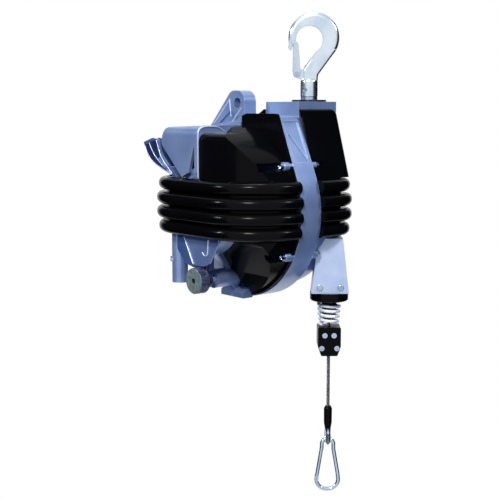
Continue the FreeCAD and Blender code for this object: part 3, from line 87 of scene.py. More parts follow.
@dataclass(frozen=True)
class Place:
    """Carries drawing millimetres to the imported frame's metres."""

    seat: tuple[float, float, float] = (84.0, -54.0, 268.7)

    def at(self, x: float, y: float, z: float) -> Vector:
        """Give the point x, y, z of the drawing in metres."""
        return Vector(((x - self.seat[0]) / MM, (y - self.seat[1]) / MM, (z - self.seat[2]) / MM))


PLACE = Place()


class Finish(Enum):
    """The finishes that a piece can wear."""

    PAINT = "silver casting enamel"
    # Painted shade: a darker copy of the silver enamel, for the spout and the gear cover.
    PAINTED_SHADE_ENAMEL = "darker enamel of the spout"
    # The lever's blue enamel; on the casting's webs the same enamel is painted shade.
    BLUE_ENAMEL_AND_WEB_SHADE = "blue enamel of the lever"
    BLACK = "glossy black moulding"
    RUBBER = "black rubber"
    HOOK = "zinc of the hook"
    ZINC = "zinc of the small parts"
    PLATE = "satin guide plate"
    CLAMP = "black of the clamp"
    OXIDE = "blackened steel"
    KNOB = "worn knob"
    # Painted shade: a dark enamel for the shaded floor of the lever's channel.
    PAINTED_CHANNEL_SHADE = "dark floor of the lever's channel"
    # A pale enamel that is a painted highlight on ribs and lips, not rubbed paint.
    PAINTED_HIGHLIGHT = "rubbed edge of a casting"
    NYLON = "white nylon"
    COIL = "white coated coil"
    WIRES = "galvanised wires"
    BRONZE = "bearing bronze"
    GROUND = "ground steel"
    BLUED = "blued spring strip"
    TURNED = "turned aluminium"


def srgb(red: float, green: float, blue: float) -> Colour:
    """Turn a display colour of 0 to 255 into linear light."""
    def channel(value: float) -> float:
        """Turn one channel into linear light."""
        value = value / 255
        return value / 12.92 if value <= 0.04045 else ((value + 0.055) / 1.055) ** 2.4
    return channel(red), channel(green), channel(blue)


# --- shader expressions -----------------------------------------------------------------------
class Signal:
    """A shader socket that can be used in plain arithmetic."""

    def __init__(self, graph: "Graph", socket: bpy.types.NodeSocket) -> None:
        """Keep the socket and the graph it belongs to."""
        self.graph = graph
        self.socket = socket

    def _math(self, operation: str, first: Number, second: Number, clamp: bool = False) -> "Signal":
        """Add a Math node for one operation."""
        settings = {"operation": operation, "use_clamp": clamp}
        return self.graph.add("ShaderNodeMath", settings, {0: first, 1: second})

    def __add__(self, other: Number) -> "Signal":
        """Add."""
        return self._math("ADD", self, other)

    def __radd__(self, other: Number) -> "Signal":
        """Add, reflected."""
        return self._math("ADD", other, self)

    def __sub__(self, other: Number) -> "Signal":
        """Subtract."""
        return self._math("SUBTRACT", self, other)

    def __rsub__(self, other: Number) -> "Signal":
        """Subtract, reflected."""
        return self._math("SUBTRACT", other, self)

    def __mul__(self, other: Number) -> "Signal":
        """Multiply."""
        return self._math("MULTIPLY", self, other)

    def __rmul__(self, other: Number) -> "Signal":
        """Multiply, reflected."""
        return self._math("MULTIPLY", other, self)

    def above(self, level: float, width: float) -> "Signal":
        """Rise from 0 to 1 as the signal passes level, over a width."""
        return self._math("MULTIPLY", self - (level - width / 2), 1 / width, clamp=True)


class Graph:
    """Node graph of one material, with the shader ready to be fed."""

    EDGE_SAMPLES = 4
    EDGE_GAIN = 3.0

    def __init__(self, name: str) -> None:
        """Start an empty material called name."""
        self.material = bpy.data.materials.new(name)
        self.material.use_nodes = True
        self.tree = self.material.node_tree
        self.tree.nodes.clear()
        self.shader = self.tree.nodes.new("ShaderNodeBsdfPrincipled")
        output = self.tree.nodes.new("ShaderNodeOutputMaterial")
        self.tree.links.new(self.shader.outputs[0], output.inputs[0])

    def add(self, kind: str, settings: dict[str, object], values: dict[Union[int, str], object],
            out: Union[int, str] = 0) -> Signal:
        """Add one node.

        Args:
            kind: node type.
            settings: properties set before anything is linked.
            values: constants or signals for its inputs, by name or number.
            out: the output to hand back.

        Returns:
            The chosen output.
        """
        node = self.tree.nodes.new(kind)
        for key, value in settings.items():
            setattr(node, key, value)
        for key, value in values.items():
            if isinstance(value, Signal):
                self.tree.links.new(value.socket, node.inputs[key])
            else:
                node.inputs[key].default_value = value
        return Signal(self, node.outputs[out])

    def spot(self) -> Signal:
        """Give the object's own coordinates, in metres."""
        return self.add("ShaderNodeTexCoord", {}, {}, "Object")

    def scaled(self, vector: Signal, scale: tuple[float, float, float]) -> Signal:
        """Stretch coordinates."""
        return self.add("ShaderNodeMapping", {}, {"Vector": vector, "Scale": scale})

    def noise(self, vector: Signal, scale: float, detail: float = 3.0, rough: float = 0.5) -> Signal:
        """Give a smooth random signal."""
        values = {"Vector": vector, "Scale": scale, "Detail": detail, "Roughness": rough}
        return self.add("ShaderNodeTexNoise", {}, values, "Fac")

    def axis(self, vector: Signal, name: str) -> Signal:
        """Give one coordinate of a vector."""
        return self.add("ShaderNodeSeparateXYZ", {}, {0: vector}, name)

    def blend(self, mask: Number, first: object, second: object) -> Signal:
        """Mix two colours by a mask.

        Args:
            mask: 0 gives the first colour and 1 the second.
            first: a linear colour or a signal.
            second: a linear colour or a signal.

        Returns:
            The mixed colour.
        """
        def coloured(value: object) -> object:
            """Give a colour four channels."""
            return value if isinstance(value, Signal) else (*value, 1.0)
        values = {0: mask, 6: coloured(first), 7: coloured(second)}
        return self.add("ShaderNodeMix", {"data_type": "RGBA"}, values, 2)

    def bump(self, height: Signal, depth: float) -> Signal:
        """Give a normal bent by a height in units of depth metres."""
        return self.add("ShaderNodeBump", {}, {"Height": height, "Distance": depth}, "Normal")

    def edges(self, radius: float) -> Signal:
        """Find where the surface bends sharply.

        Args:
            radius: how far from an edge it is still felt, in metres.

        Returns:
            A signal that is 0 on a flat and rises at an edge.
        """
        worn = self.add("ShaderNodeBevel", {"samples": self.EDGE_SAMPLES}, {"Radius": radius})
        plain = self.add("ShaderNodeNewGeometry", {}, {}, "Normal")
        values = {0: worn, 1: plain}
        level = self.add("ShaderNodeVectorMath", {"operation": "DOT_PRODUCT"}, values, "Value")
        return (1.0 - level) * self.EDGE_GAIN

    def feed(self, **sockets: object) -> bpy.types.Material:
        """Set the shader's inputs.

        Args:
            **sockets: a constant or a signal for each input, with _ for a space in its name.

        Returns:
            The material.
        """
        for key, value in sockets.items():
            socket = self.shader.inputs[key.replace("_", " ")]
            if isinstance(value, Signal):
                self.tree.links.new(value.socket, socket)
            elif isinstance(value, tuple) and len(value) == 3:
                socket.default_value = (*value, 1.0)
            else:
                socket.default_value = value
        return self.material


# --- finishes ---------------------------------------------------------------------------------
@dataclass(frozen=True)
class SilverEnamel:
    """Metallic enamel over a sand casting: fine orange peel, flake, and a painted highlight along its
    edges.
    """

    name: str = "silver_enamel"
    colour: Colour = srgb(148, 168, 202)
    shade: Colour = srgb(104, 128, 176)
    metal: float = 0.5
    rough: float = 0.36
    peel: float = 0.00006
    # The next two fields set the strength and the pale colour of a painted highlight along the edges,
    # not of wear.
    worn: float = 0.8
    edge: Colour = srgb(226, 234, 246)
    glint: Colour = srgb(214, 222, 236)
    edge_width: float = 0.0011
    cloud_scale: float = 18.0
    flake_scale: float = 2600.0
    peel_scale: float = 420.0
    coat: float = 0.25
    coat_rough: float = 0.12

    def make(self) -> bpy.types.Material:
        """Build the material.

        Returns:
            The material.
        """
        graph = Graph(self.name)
        spot = graph.spot()
        cloud = graph.noise(spot, self.cloud_scale, 4.0)
        flake = graph.noise(spot, self.flake_scale, 2.0)
        peel = graph.noise(spot, self.peel_scale, 3.0, 0.55)
        # Painted highlight: the enamel is lightened along its edges, not worn.
        rubbed = graph.edges(self.edge_width).above(0.22, 0.4) * self.worn
        colour = graph.blend(cloud.above(0.5, 0.7), self.shade, self.colour)
        colour = graph.blend(flake.above(0.62, 0.1) * 0.25, colour, self.glint)
        colour = graph.blend(rubbed, colour, self.edge)
        rough = cloud * 0.10 + (self.rough - 0.05)
        bump = graph.bump(peel + flake * 0.3, self.peel)
        return graph.feed(Base_Color=colour, Metallic=self.metal, Roughness=rough, Normal=bump,
                          Coat_Weight=self.coat, Coat_Roughness=self.coat_rough)


@dataclass(frozen=True)
class MouldedBlack:
    """Glossy black moulding with faint ripples and a few dull marks."""

    name: str = "moulded_black"
    colour: Colour = srgb(5, 5, 6)
    rough: float = 0.17
    wave: float = 0.00008
    bloom: Colour = srgb(9, 9, 11)
    gloss: float = 0.05
    wave_scale: float = 35.0
    mark_scale: float = 9.0

    def make(self) -> bpy.types.Material:
        """Build the material.

        Returns:
            The material.
        """
        graph = Graph(self.name)
        spot = graph.spot()
        wave = graph.noise(spot, self.wave_scale, 2.0)
        dull = graph.noise(spot, self.mark_scale, 5.0, 0.6)
        rough = dull.above(0.58, 0.2) * 0.10 + self.rough
        colour = graph.blend(dull, self.colour, self.bloom)
        return graph.feed(Base_Color=colour, Roughness=rough, Normal=graph.bump(wave, self.wave),
                          Specular_IOR_Level=self.gloss)


@dataclass(frozen=True)
class SlickRubber:
    """Black rubber with a skin sheen and a fine grain."""

    name: str = "slick_rubber"
    colour: Colour = srgb(4, 4, 5)
    rough: float = 0.2
    bloom: Colour = srgb(8, 8, 9)
    gloss: float = 0.07
    grain: float = 0.00003
    grain_scale: float = 900.0
    smear_scale: float = 14.0

    def make(self) -> bpy.types.Material:
        """Build the material.

        Returns:
            The material.
        """
        graph = Graph(self.name)
        spot = graph.spot()
        grain = graph.noise(spot, self.grain_scale, 3.0)
        smear = graph.noise(spot, self.smear_scale, 4.0)
        rough = smear * 0.14 + self.rough - 0.07
        colour = graph.blend(smear, self.colour, self.bloom)
        return graph.feed(Base_Color=colour, Roughness=rough, Normal=graph.bump(grain, self.grain),
                          Specular_IOR_Level=self.gloss)


@dataclass(frozen=True)
class BrightPlate:
    """Plated or bare metal with a drawn grain, soft tarnish and, where asked, a painted dark reflection
    along its edges.
    """

    name: str
    colour: Colour
    shade: Colour
    rough: float
    stretch: tuple[float, float, float] = (60.0, 60.0, 60.0)
    grain: float = 0.00003
    painted_edge_reflection: float = 0.0
    metal: float = 1.0
    painted_edge_reflection_colour: Colour = srgb(52, 66, 96)
    painted_edge_reflection_width: float = 0.0012
    grain_scale: float = 12.0
    tarnish_scale: float = 30.0

    def make(self) -> bpy.types.Material:
        """Build the material.

        Returns:
            The material.
        """
        graph = Graph(self.name)
        spot = graph.spot()
        drawn = graph.noise(graph.scaled(spot, self.stretch), self.grain_scale, 4.0, 0.6)
        tarnish = graph.noise(spot, self.tarnish_scale, 5.0, 0.6)
        colour = graph.blend(tarnish.above(0.55, 0.5) * 0.7, self.colour, self.shade)
        # Painted reflection: the metal is darkened along its edges.
        if self.painted_edge_reflection:
            edge = graph.edges(self.painted_edge_reflection_width).above(0.3, 0.5) * self.painted_edge_reflection
            colour = graph.blend(edge, colour, self.painted_edge_reflection_colour)
        rough = drawn * 0.12 + tarnish * 0.10 + (self.rough - 0.11)
        return graph.feed(Base_Color=colour, Metallic=self.metal, Roughness=rough,
                          Normal=graph.bump(drawn, self.grain))


@dataclass(frozen=True)
class DarkOxide:
    """Blackened steel, slightly rubbed."""

    name: str = "dark_oxide"
    colour: Colour = srgb(34, 35, 40)
    rubbed: Colour = srgb(110, 114, 124)
    metal: float = 0.9
    rub_scale: float = 260.0
    grain: float = 0.00002

    def make(self) -> bpy.types.Material:
        """Build the material.

        Returns:
            The material.
        """
        graph = Graph(self.name)
        rub = graph.noise(graph.spot(), self.rub_scale, 4.0, 0.7)
        colour = graph.blend(rub.above(0.62, 0.2), self.colour, self.rubbed)
        return graph.feed(Base_Color=colour, Metallic=self.metal, Roughness=rub * 0.2 + 0.25,
                          Normal=graph.bump(rub, self.grain))


@dataclass(frozen=True)
class PlainMoulding:
    """Matt moulded or cast nylon with a fine spark finish."""

    name: str
    colour: Colour
    shade: Colour
    rough: float
    spark: float = 0.00004
    spark_scale: float = 700.0
    tone_scale: float = 40.0

    def make(self) -> bpy.types.Material:
        """Build the material.

        Returns:
            The material.
        """
        graph = Graph(self.name)
        spot = graph.spot()
        spark = graph.noise(spot, self.spark_scale, 3.0)
        tone = graph.noise(spot, self.tone_scale, 3.0)
        colour = graph.blend(tone, self.shade, self.colour)
        rough = spark * 0.1 + (self.rough - 0.05)
        return graph.feed(Base_Color=colour, Roughness=rough, Normal=graph.bump(spark, self.spark))


@dataclass(frozen=True)
class KnobFinish:
    """Knurled knob: a worn grey-green face, a side painted dark blue as shade, and a painted highlight
    on its edges.
    """

    name: str = "knob_face_and_side"
    face_at: float = -0.1756
    step: float = 0.0004
    face: tuple[Colour, Colour] = (srgb(84, 100, 98), srgb(146, 160, 152))
    painted_shade_side: tuple[Colour, Colour] = (srgb(30, 36, 66), srgb(104, 118, 156))
    edge: Colour = srgb(206, 214, 224)
    edge_width: float = 0.0009
    metal: float = 0.35
    wear_scale: float = 160.0
    grain: float = 0.00004

    def make(self) -> bpy.types.Material:
        """Build the material.

        Returns:
            The material.
        """
        graph = Graph(self.name)
        spot = graph.spot()
        # Painted shade: past the face, the knob's side is coloured dark blue.
        side = graph.axis(spot, "X").above(self.face_at, self.step)
        wear = graph.noise(spot, self.wear_scale, 5.0, 0.65)
        face = graph.blend(wear.above(0.5, 0.4), *self.face)
        painted_shade_side = graph.blend(wear.above(0.55, 0.3), *self.painted_shade_side)
        # Painted highlight: the knob is lightened along its edges.
        rubbed = graph.edges(self.edge_width).above(0.3, 0.4) * 0.7
        colour = graph.blend(rubbed, graph.blend(side, face, painted_shade_side), self.edge)
        return graph.feed(Base_Color=colour, Metallic=self.metal, Roughness=wear * 0.2 + 0.28,
                          Normal=graph.bump(wear, self.grain))


@dataclass(frozen=True)
class WireLay:
    """Galvanised wires of a rope's strand."""

    name: str = "wire_lay"
    colour: Colour = srgb(150, 152, 158)
    gap: Colour = srgb(34, 34, 38)
    metal: float = 0.9
    rough: float = 0.38
    stretch: tuple[float, float, float] = (900.0, 900.0, 240.0)
    grime_scale: float = 90.0
    depth: float = 0.00012

    def make(self) -> bpy.types.Material:
        """Build the material.

        Returns:
            The material.
        """
        graph = Graph(self.name)
        spot = graph.spot()
        wires = graph.noise(graph.scaled(spot, self.stretch), 1.0, 3.0)
        grime = graph.noise(spot, self.grime_scale, 4.0)
        colour = graph.blend(wires.above(0.45, 0.3), self.gap, self.colour)
        colour = graph.blend(grime.above(0.6, 0.3) * 0.5, colour, self.gap)
        return graph.feed(Base_Color=colour, Metallic=self.metal, Roughness=self.rough,
                          Normal=graph.bump(wires, self.depth))


# --- pieces made here -------------------------------------------------------------------------
@dataclass
class WireRope:
    """Rope from the drum to the thimble's sleeve, laid up from six strands round a core."""

    centre: tuple[float, float] = (84.0, -100.8)
    top: float = -34.0
    foot: float = -329.0
    nozzle: float = -121.0
    clamp_top: float = -173.0
    radius: float = 2.5
    strands: int = 6
    lay_length: float = 30.0
    step: float = 1.6
    sides: int = 7
    in_buffer: float = -90.0
    below_clamp: float = -250.0
    spline_order: int = 3
    spline_steps: int = 40

    def route(self) -> list[Vector]:
        """Give the control points of the taut run."""
        heights = (self.top, self.in_buffer, self.nozzle, self.clamp_top, self.below_clamp, self.foot)
        return [PLACE.at(*self.centre, height) for height in heights]

    def spine(self) -> list[Vector]:
        """Draw the smooth line through the route.

        Returns:
            Its points, top to foot.
        """
        data = bpy.data.curves.new("rope_route", "CURVE")
        data.dimensions = "3D"
        spline = data.splines.new("NURBS")
        points = self.route()
        spline.points.add(len(points) - 1)
        for knot, spot in zip(spline.points, points):
            knot.co = (*spot, 1.0)
        spline.order_u = self.spline_order
        spline.use_endpoint_u = True
        spline.resolution_u = self.spline_steps
        carrier = bpy.data.objects.new("rope_route", data)
        bpy.context.scene.collection.objects.link(carrier)
        bpy.context.view_layer.update()
        mesh = bpy.data.meshes.new_from_object(carrier)
        line = [vertex.co.copy() for vertex in mesh.vertices]
        bpy.data.meshes.remove(mesh)
        bpy.data.objects.remove(carrier)
        return line

    def evenly(self, line: Sequence[Vector]) -> list[Vector]:
        """Space points evenly along a line, a step apart.

        Args:
            line: the points of the line.

        Returns:
            The even points.
        """
        lengths = [0.0]
        for first, second in zip(line, line[1:]):
            lengths.append(lengths[-1] + (second - first).length)
        count = max(2, round(lengths[-1] * MM / self.step))
        spots = []
        index = 0
        for number in range(count + 1):
            want = lengths[-1] * number / count
            while index < len(line) - 2 and lengths[index + 1] < want:
                index += 1
            share = (want - lengths[index]) / max(1e-9, lengths[index + 1] - lengths[index])
            spots.append(line[index].lerp(line[index + 1], share))
        return spots

    def strand(self, spine: Sequence[Vector], phase: float, offset: float,
               thick: float) -> tuple[list[Vector], list[tuple[int, ...]]]:
        """Wind one strand round the spine.

        Args:
            spine: even points down the rope.
            phase: turn at the top, in radians.
            offset: distance from the rope's middle, in millimetres.
            thick: the strand's radius, in millimetres.

        Returns:
            Its vertices and faces.
        """
        vertices: list[Vector] = []
        faces: list[tuple[int, ...]] = []
        travelled = 0.0
        for number, spot in enumerate(spine):
            if number:
                travelled += (spot - spine[number - 1]).length * MM
            angle = phase + 2 * math.pi * travelled / self.lay_length
            middle = spot + Vector((math.cos(angle), math.sin(angle), 0)) * offset / MM
            for side in range(self.sides):
                around = 2 * math.pi * side / self.sides
                vertices.append(middle + Vector((math.cos(around), math.sin(around), 0)) * thick / MM)
        for ring in range(len(spine) - 1):
            for side in range(self.sides):
                after = (side + 1) % self.sides
                low = ring * self.sides
                high = low + self.sides
                faces.append((low + side, high + side, high + after, low + after))
        faces.append(tuple(range(self.sides)))
        last = (len(spine) - 1) * self.sides
        faces.append(tuple(last + side for side in reversed(range(self.sides))))
        return vertices, faces

    def build(self, finish: bpy.types.Material) -> bpy.types.Object:
        """Make the rope.

        Args:
            finish: what the wires wear.

        Returns:
            The rope.
        """
        spine = self.evenly(self.spine())
        thick = self.radius / 3
        vertices: list[Vector] = []
        faces: list[tuple[int, ...]] = []
        windings = [(2 * math.pi * number / self.strands, self.radius - thick)
                    for number in range(self.strands)]
        for phase, offset in windings + [(0.0, 0.0)]:
            more, panels = self.strand(spine, phase, offset, thick)
            faces += [tuple(corner + len(vertices) for corner in panel) for panel in panels]
            vertices += more
        mesh = bpy.data.meshes.new("wire_rope")
        mesh.from_pydata(vertices, [], faces)
        mesh.validate()
        mesh.polygons.foreach_set("use_smooth", [True] * len(mesh.polygons))
        mesh.update()
        piece = bpy.data.objects.new("wire_rope", mesh)
        bpy.context.scene.collection.objects.link(piece)
        mesh.materials.append(finish)
        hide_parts("rope_upper", "rope_lower")
        tuple(PLACE.at(*self.centre, self.nozzle))
        tuple(PLACE.at(*self.centre, self.clamp_top))
        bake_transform(piece)
        LOG.info("%s wears %s", piece.name, finish.name)
        return piece

    def declare(self) -> None:
        """Work out the rope's top and its route points, and keep neither.
        """
        tuple(PLACE.at(*self.centre, self.top))
        [tuple(spot) for spot in self.route()]


@dataclass
class Trim:
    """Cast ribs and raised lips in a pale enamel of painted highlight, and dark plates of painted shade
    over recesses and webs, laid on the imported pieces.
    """

    finishes: dict[Finish, bpy.types.Material]
    lever_face: float = -80.5
    channel_half: float = 0.4
    ear_face: float = 2.0
    web_face: float = -84.0
    flange_y: float = -5.0
    rib_radius: float = 1.0
    web_rib_radius: float = 1.1
    lip_radius: float = 1.2
    bar_order: int = 3
    bar_roundness: int = 3
    round_steps: int = 2

    def rail(self, name: str, spots: Sequence[Vector], radius: float, key: Finish, body: str,
             slot: str) -> None:
        """Lay a round bar through points.

        Args:
            name: the piece's name.
            spots: its path, in metres.
            radius: its radius in millimetres.
            key: which finish it wears.
            body: the body it rides on.
            slot: the record's material slot.
        """
        bpy.ops.object.select_all(action="DESELECT")
        bpy.ops.curve.primitive_nurbs_path_add(location=(0, 0, 0))
        piece = bpy.context.object
        piece.name = name
        spline = piece.data.splines[0]
        while len(spline.points) < len(spots):
            spline.points.add(1)
        spare = len(spline.points) - len(spots)
        for knot, spot in zip(spline.points, list(spots) + [spots[-1]] * spare):
            knot.co = (*spot, 1.0)
        spline.order_u = self.bar_order
        spline.use_endpoint_u = True
        piece.data.bevel_depth = radius / MM
        piece.data.bevel_resolution = self.bar_roundness
        piece.data.use_fill_caps = True
        bpy.ops.object.convert(target="MESH")
        bpy.ops.object.shade_smooth()
        self.finish(piece, key, body, slot)

    def plate(self, name: str, corners: Sequence[tuple[float, float]], left: float, right: float,
              key: Finish, body: str, slot: str, round_off: float = 0.6) -> None:
        """Make a flat plate from its outline in Y and Z.

        Args:
            name: the piece's name.
            corners: outline in drawing Y and Z, in order.
            left: its left face, in drawing X.
            right: its right face, in drawing X.
            key: which finish it wears.
            body: the body it rides on.
            slot: the record's material slot.
            round_off: bevel of its edges in millimetres.
        """
        bpy.ops.object.select_all(action="DESELECT")
        bpy.ops.mesh.primitive_circle_add(vertices=len(corners), radius=0.01, fill_type="NGON",
                                          location=(0, 0, 0))
        piece = bpy.context.object
        piece.name = name
        for vertex, (y, z) in zip(piece.data.vertices, corners):
            vertex.co = PLACE.at(left, y, z)
        bpy.ops.object.mode_set(mode="EDIT")
        bpy.ops.mesh.select_all(action="SELECT")
        bpy.ops.mesh.extrude_region_move(
            TRANSFORM_OT_translate={"value": ((right - left) / MM, 0, 0)})
        bpy.ops.mesh.select_all(action="SELECT")
        bpy.ops.mesh.normals_make_consistent(inside=False)
        bpy.ops.mesh.bevel(offset=round_off / MM, segments=self.round_steps)
        bpy.ops.object.mode_set(mode="OBJECT")
        self.finish(piece, key, body, slot)

    def finish(self, piece: bpy.types.Object, key: Finish, body: str, slot: str) -> None:
        """Give a piece its finish and body, and report it.

        Args:
            piece: the piece.
            key: which finish it wears.
            body: the body it rides on.
            slot: the record's material slot; not used.
        """
        piece.data.materials.clear()
        piece.data.materials.append(self.finishes[key])
        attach(piece, body)
        LOG.info("%s wears %s", piece.name, self.finishes[key].name)

    def lever(self) -> None:
        """Lay a dark sheet of painted shade on the channel floor and pale lips of painted highlight on
        the lever's outer side.
        """
        floor = ((68, 51), (86, 57), (108, 64), (127, 76), (137, 93), (112, 101), (103, 99), (95, 77),
                 (80, 62), (66, 53))
        # A thin dark sheet on the lever: painted shade in its channel.
        self.plate("lever_painted_shade_sheet", floor, self.lever_face - self.channel_half,
                   self.lever_face + self.channel_half, Finish.PAINTED_CHANNEL_SHADE, "lever", "painted_lever", 0.2)
        # The first three lips wear a pale enamel of painted highlight.
        lips = (
            (((136, 92), (127, 76), (108, 64.5), (86, 57), (69, 51)), 0.8, Finish.PAINTED_HIGHLIGHT),
            (((124, 96), (115, 82), (99, 69), (81, 59), (67, 51.5)), 0.9, Finish.PAINTED_HIGHLIGHT),
            (((105, 100), (99, 85), (92, 74), (78, 62), (65.5, 52.5)), 0.8, Finish.PAINTED_HIGHLIGHT),
            (((98, 73), (88, 66.5), (78, 60)), 2.4, Finish.BLUE_ENAMEL_AND_WEB_SHADE),
        )
        for number, (lip, radius, key) in enumerate(lips):
            spots = [PLACE.at(self.lever_face, y, z) for y, z in lip]
            self.rail(f"lever_lip_{number}", spots, radius, key, "lever", "painted_lever")

    def ear(self) -> None:
        """Lay the ribs of the safety ear, in a pale enamel of painted highlight."""
        ribs = (
            ((32, 161), (30, 150), (28.5, 136)),
            ((4, 149), (20, 134), (38, 117)),
            ((31, 162), (52, 142), (70, 125)),
        )
        for number, rib in enumerate(ribs):
            spots = [PLACE.at(self.ear_face, y, z) for y, z in rib]
            self.rail(f"ear_rib_{number}", spots, self.rib_radius, Finish.PAINTED_HIGHLIGHT, "casing",
                      "cast_aluminium")

    def web(self) -> None:
        """Lay the webs between tube, gear housing and knob boss in darker enamels of painted shade, and
        their hooked rib in a pale enamel of painted highlight.
        """
        tube = ((58, -30), (56, -84), (18, -92), (8, -88), (2, -40), (6, -30))
        cover = ((50, -36), (50, -58), (30, -78), (-14, -78), (-28, -72), (-48, -42), (-48, -36))
        step = ((50, -36), (50, -58), (30, -78), (11, -78), (33, -36))
        # Painted shade: the webs and cover wear darker enamels, and the step is a darker sheet over the
        # cover.
        self.plate("tube_web", tube, -62.0, -58.0, Finish.BLUE_ENAMEL_AND_WEB_SHADE, "casing", "cast_aluminium", 0.8)
        self.plate("gear_cover_web", cover, -83.2, -81.2, Finish.PAINTED_SHADE_ENAMEL, "casing", "cast_aluminium")
        self.plate("gear_cover_shade_step", step, self.web_face, -83.2, Finish.BLUE_ENAMEL_AND_WEB_SHADE, "casing",
                   "cast_aluminium", 0.3)
        ribs = (
            ((-25, -38), (-24.5, -56), (-21.5, -62), (-15, -62), (-11.5, -57.5)),
            ((33, -37), (22, -58), (10.5, -77)),
        )
        # The ribs wear a pale enamel of painted highlight.
        for number, rib in enumerate(ribs):
            spots = [PLACE.at(self.web_face, y, z) for y, z in rib]
            self.rail(f"web_rib_{number}", spots, self.web_rib_radius, Finish.PAINTED_HIGHLIGHT, "casing",
                      "cast_aluminium")

    def lip(self) -> None:
        """Lay the raised lip of the flange that frames the left cover, in a pale enamel of painted
        highlight.
        """
        edge = ((-86, 50), (-86, 84), (-86, 112), (-84, 119), (-77, 122.4), (-60, 122.8),
                (-46, 121.5), (-38.5, 115))
        spots = [PLACE.at(x, self.flange_y, z) for x, z in edge]
        self.rail("flange_lip", spots, self.lip_radius, Finish.PAINTED_HIGHLIGHT, "casing", "cast_aluminium")

    def build(self) -> None:
        """Add all the trim."""
        for part in (self.lever, self.ear, self.web, self.lip):
            part()


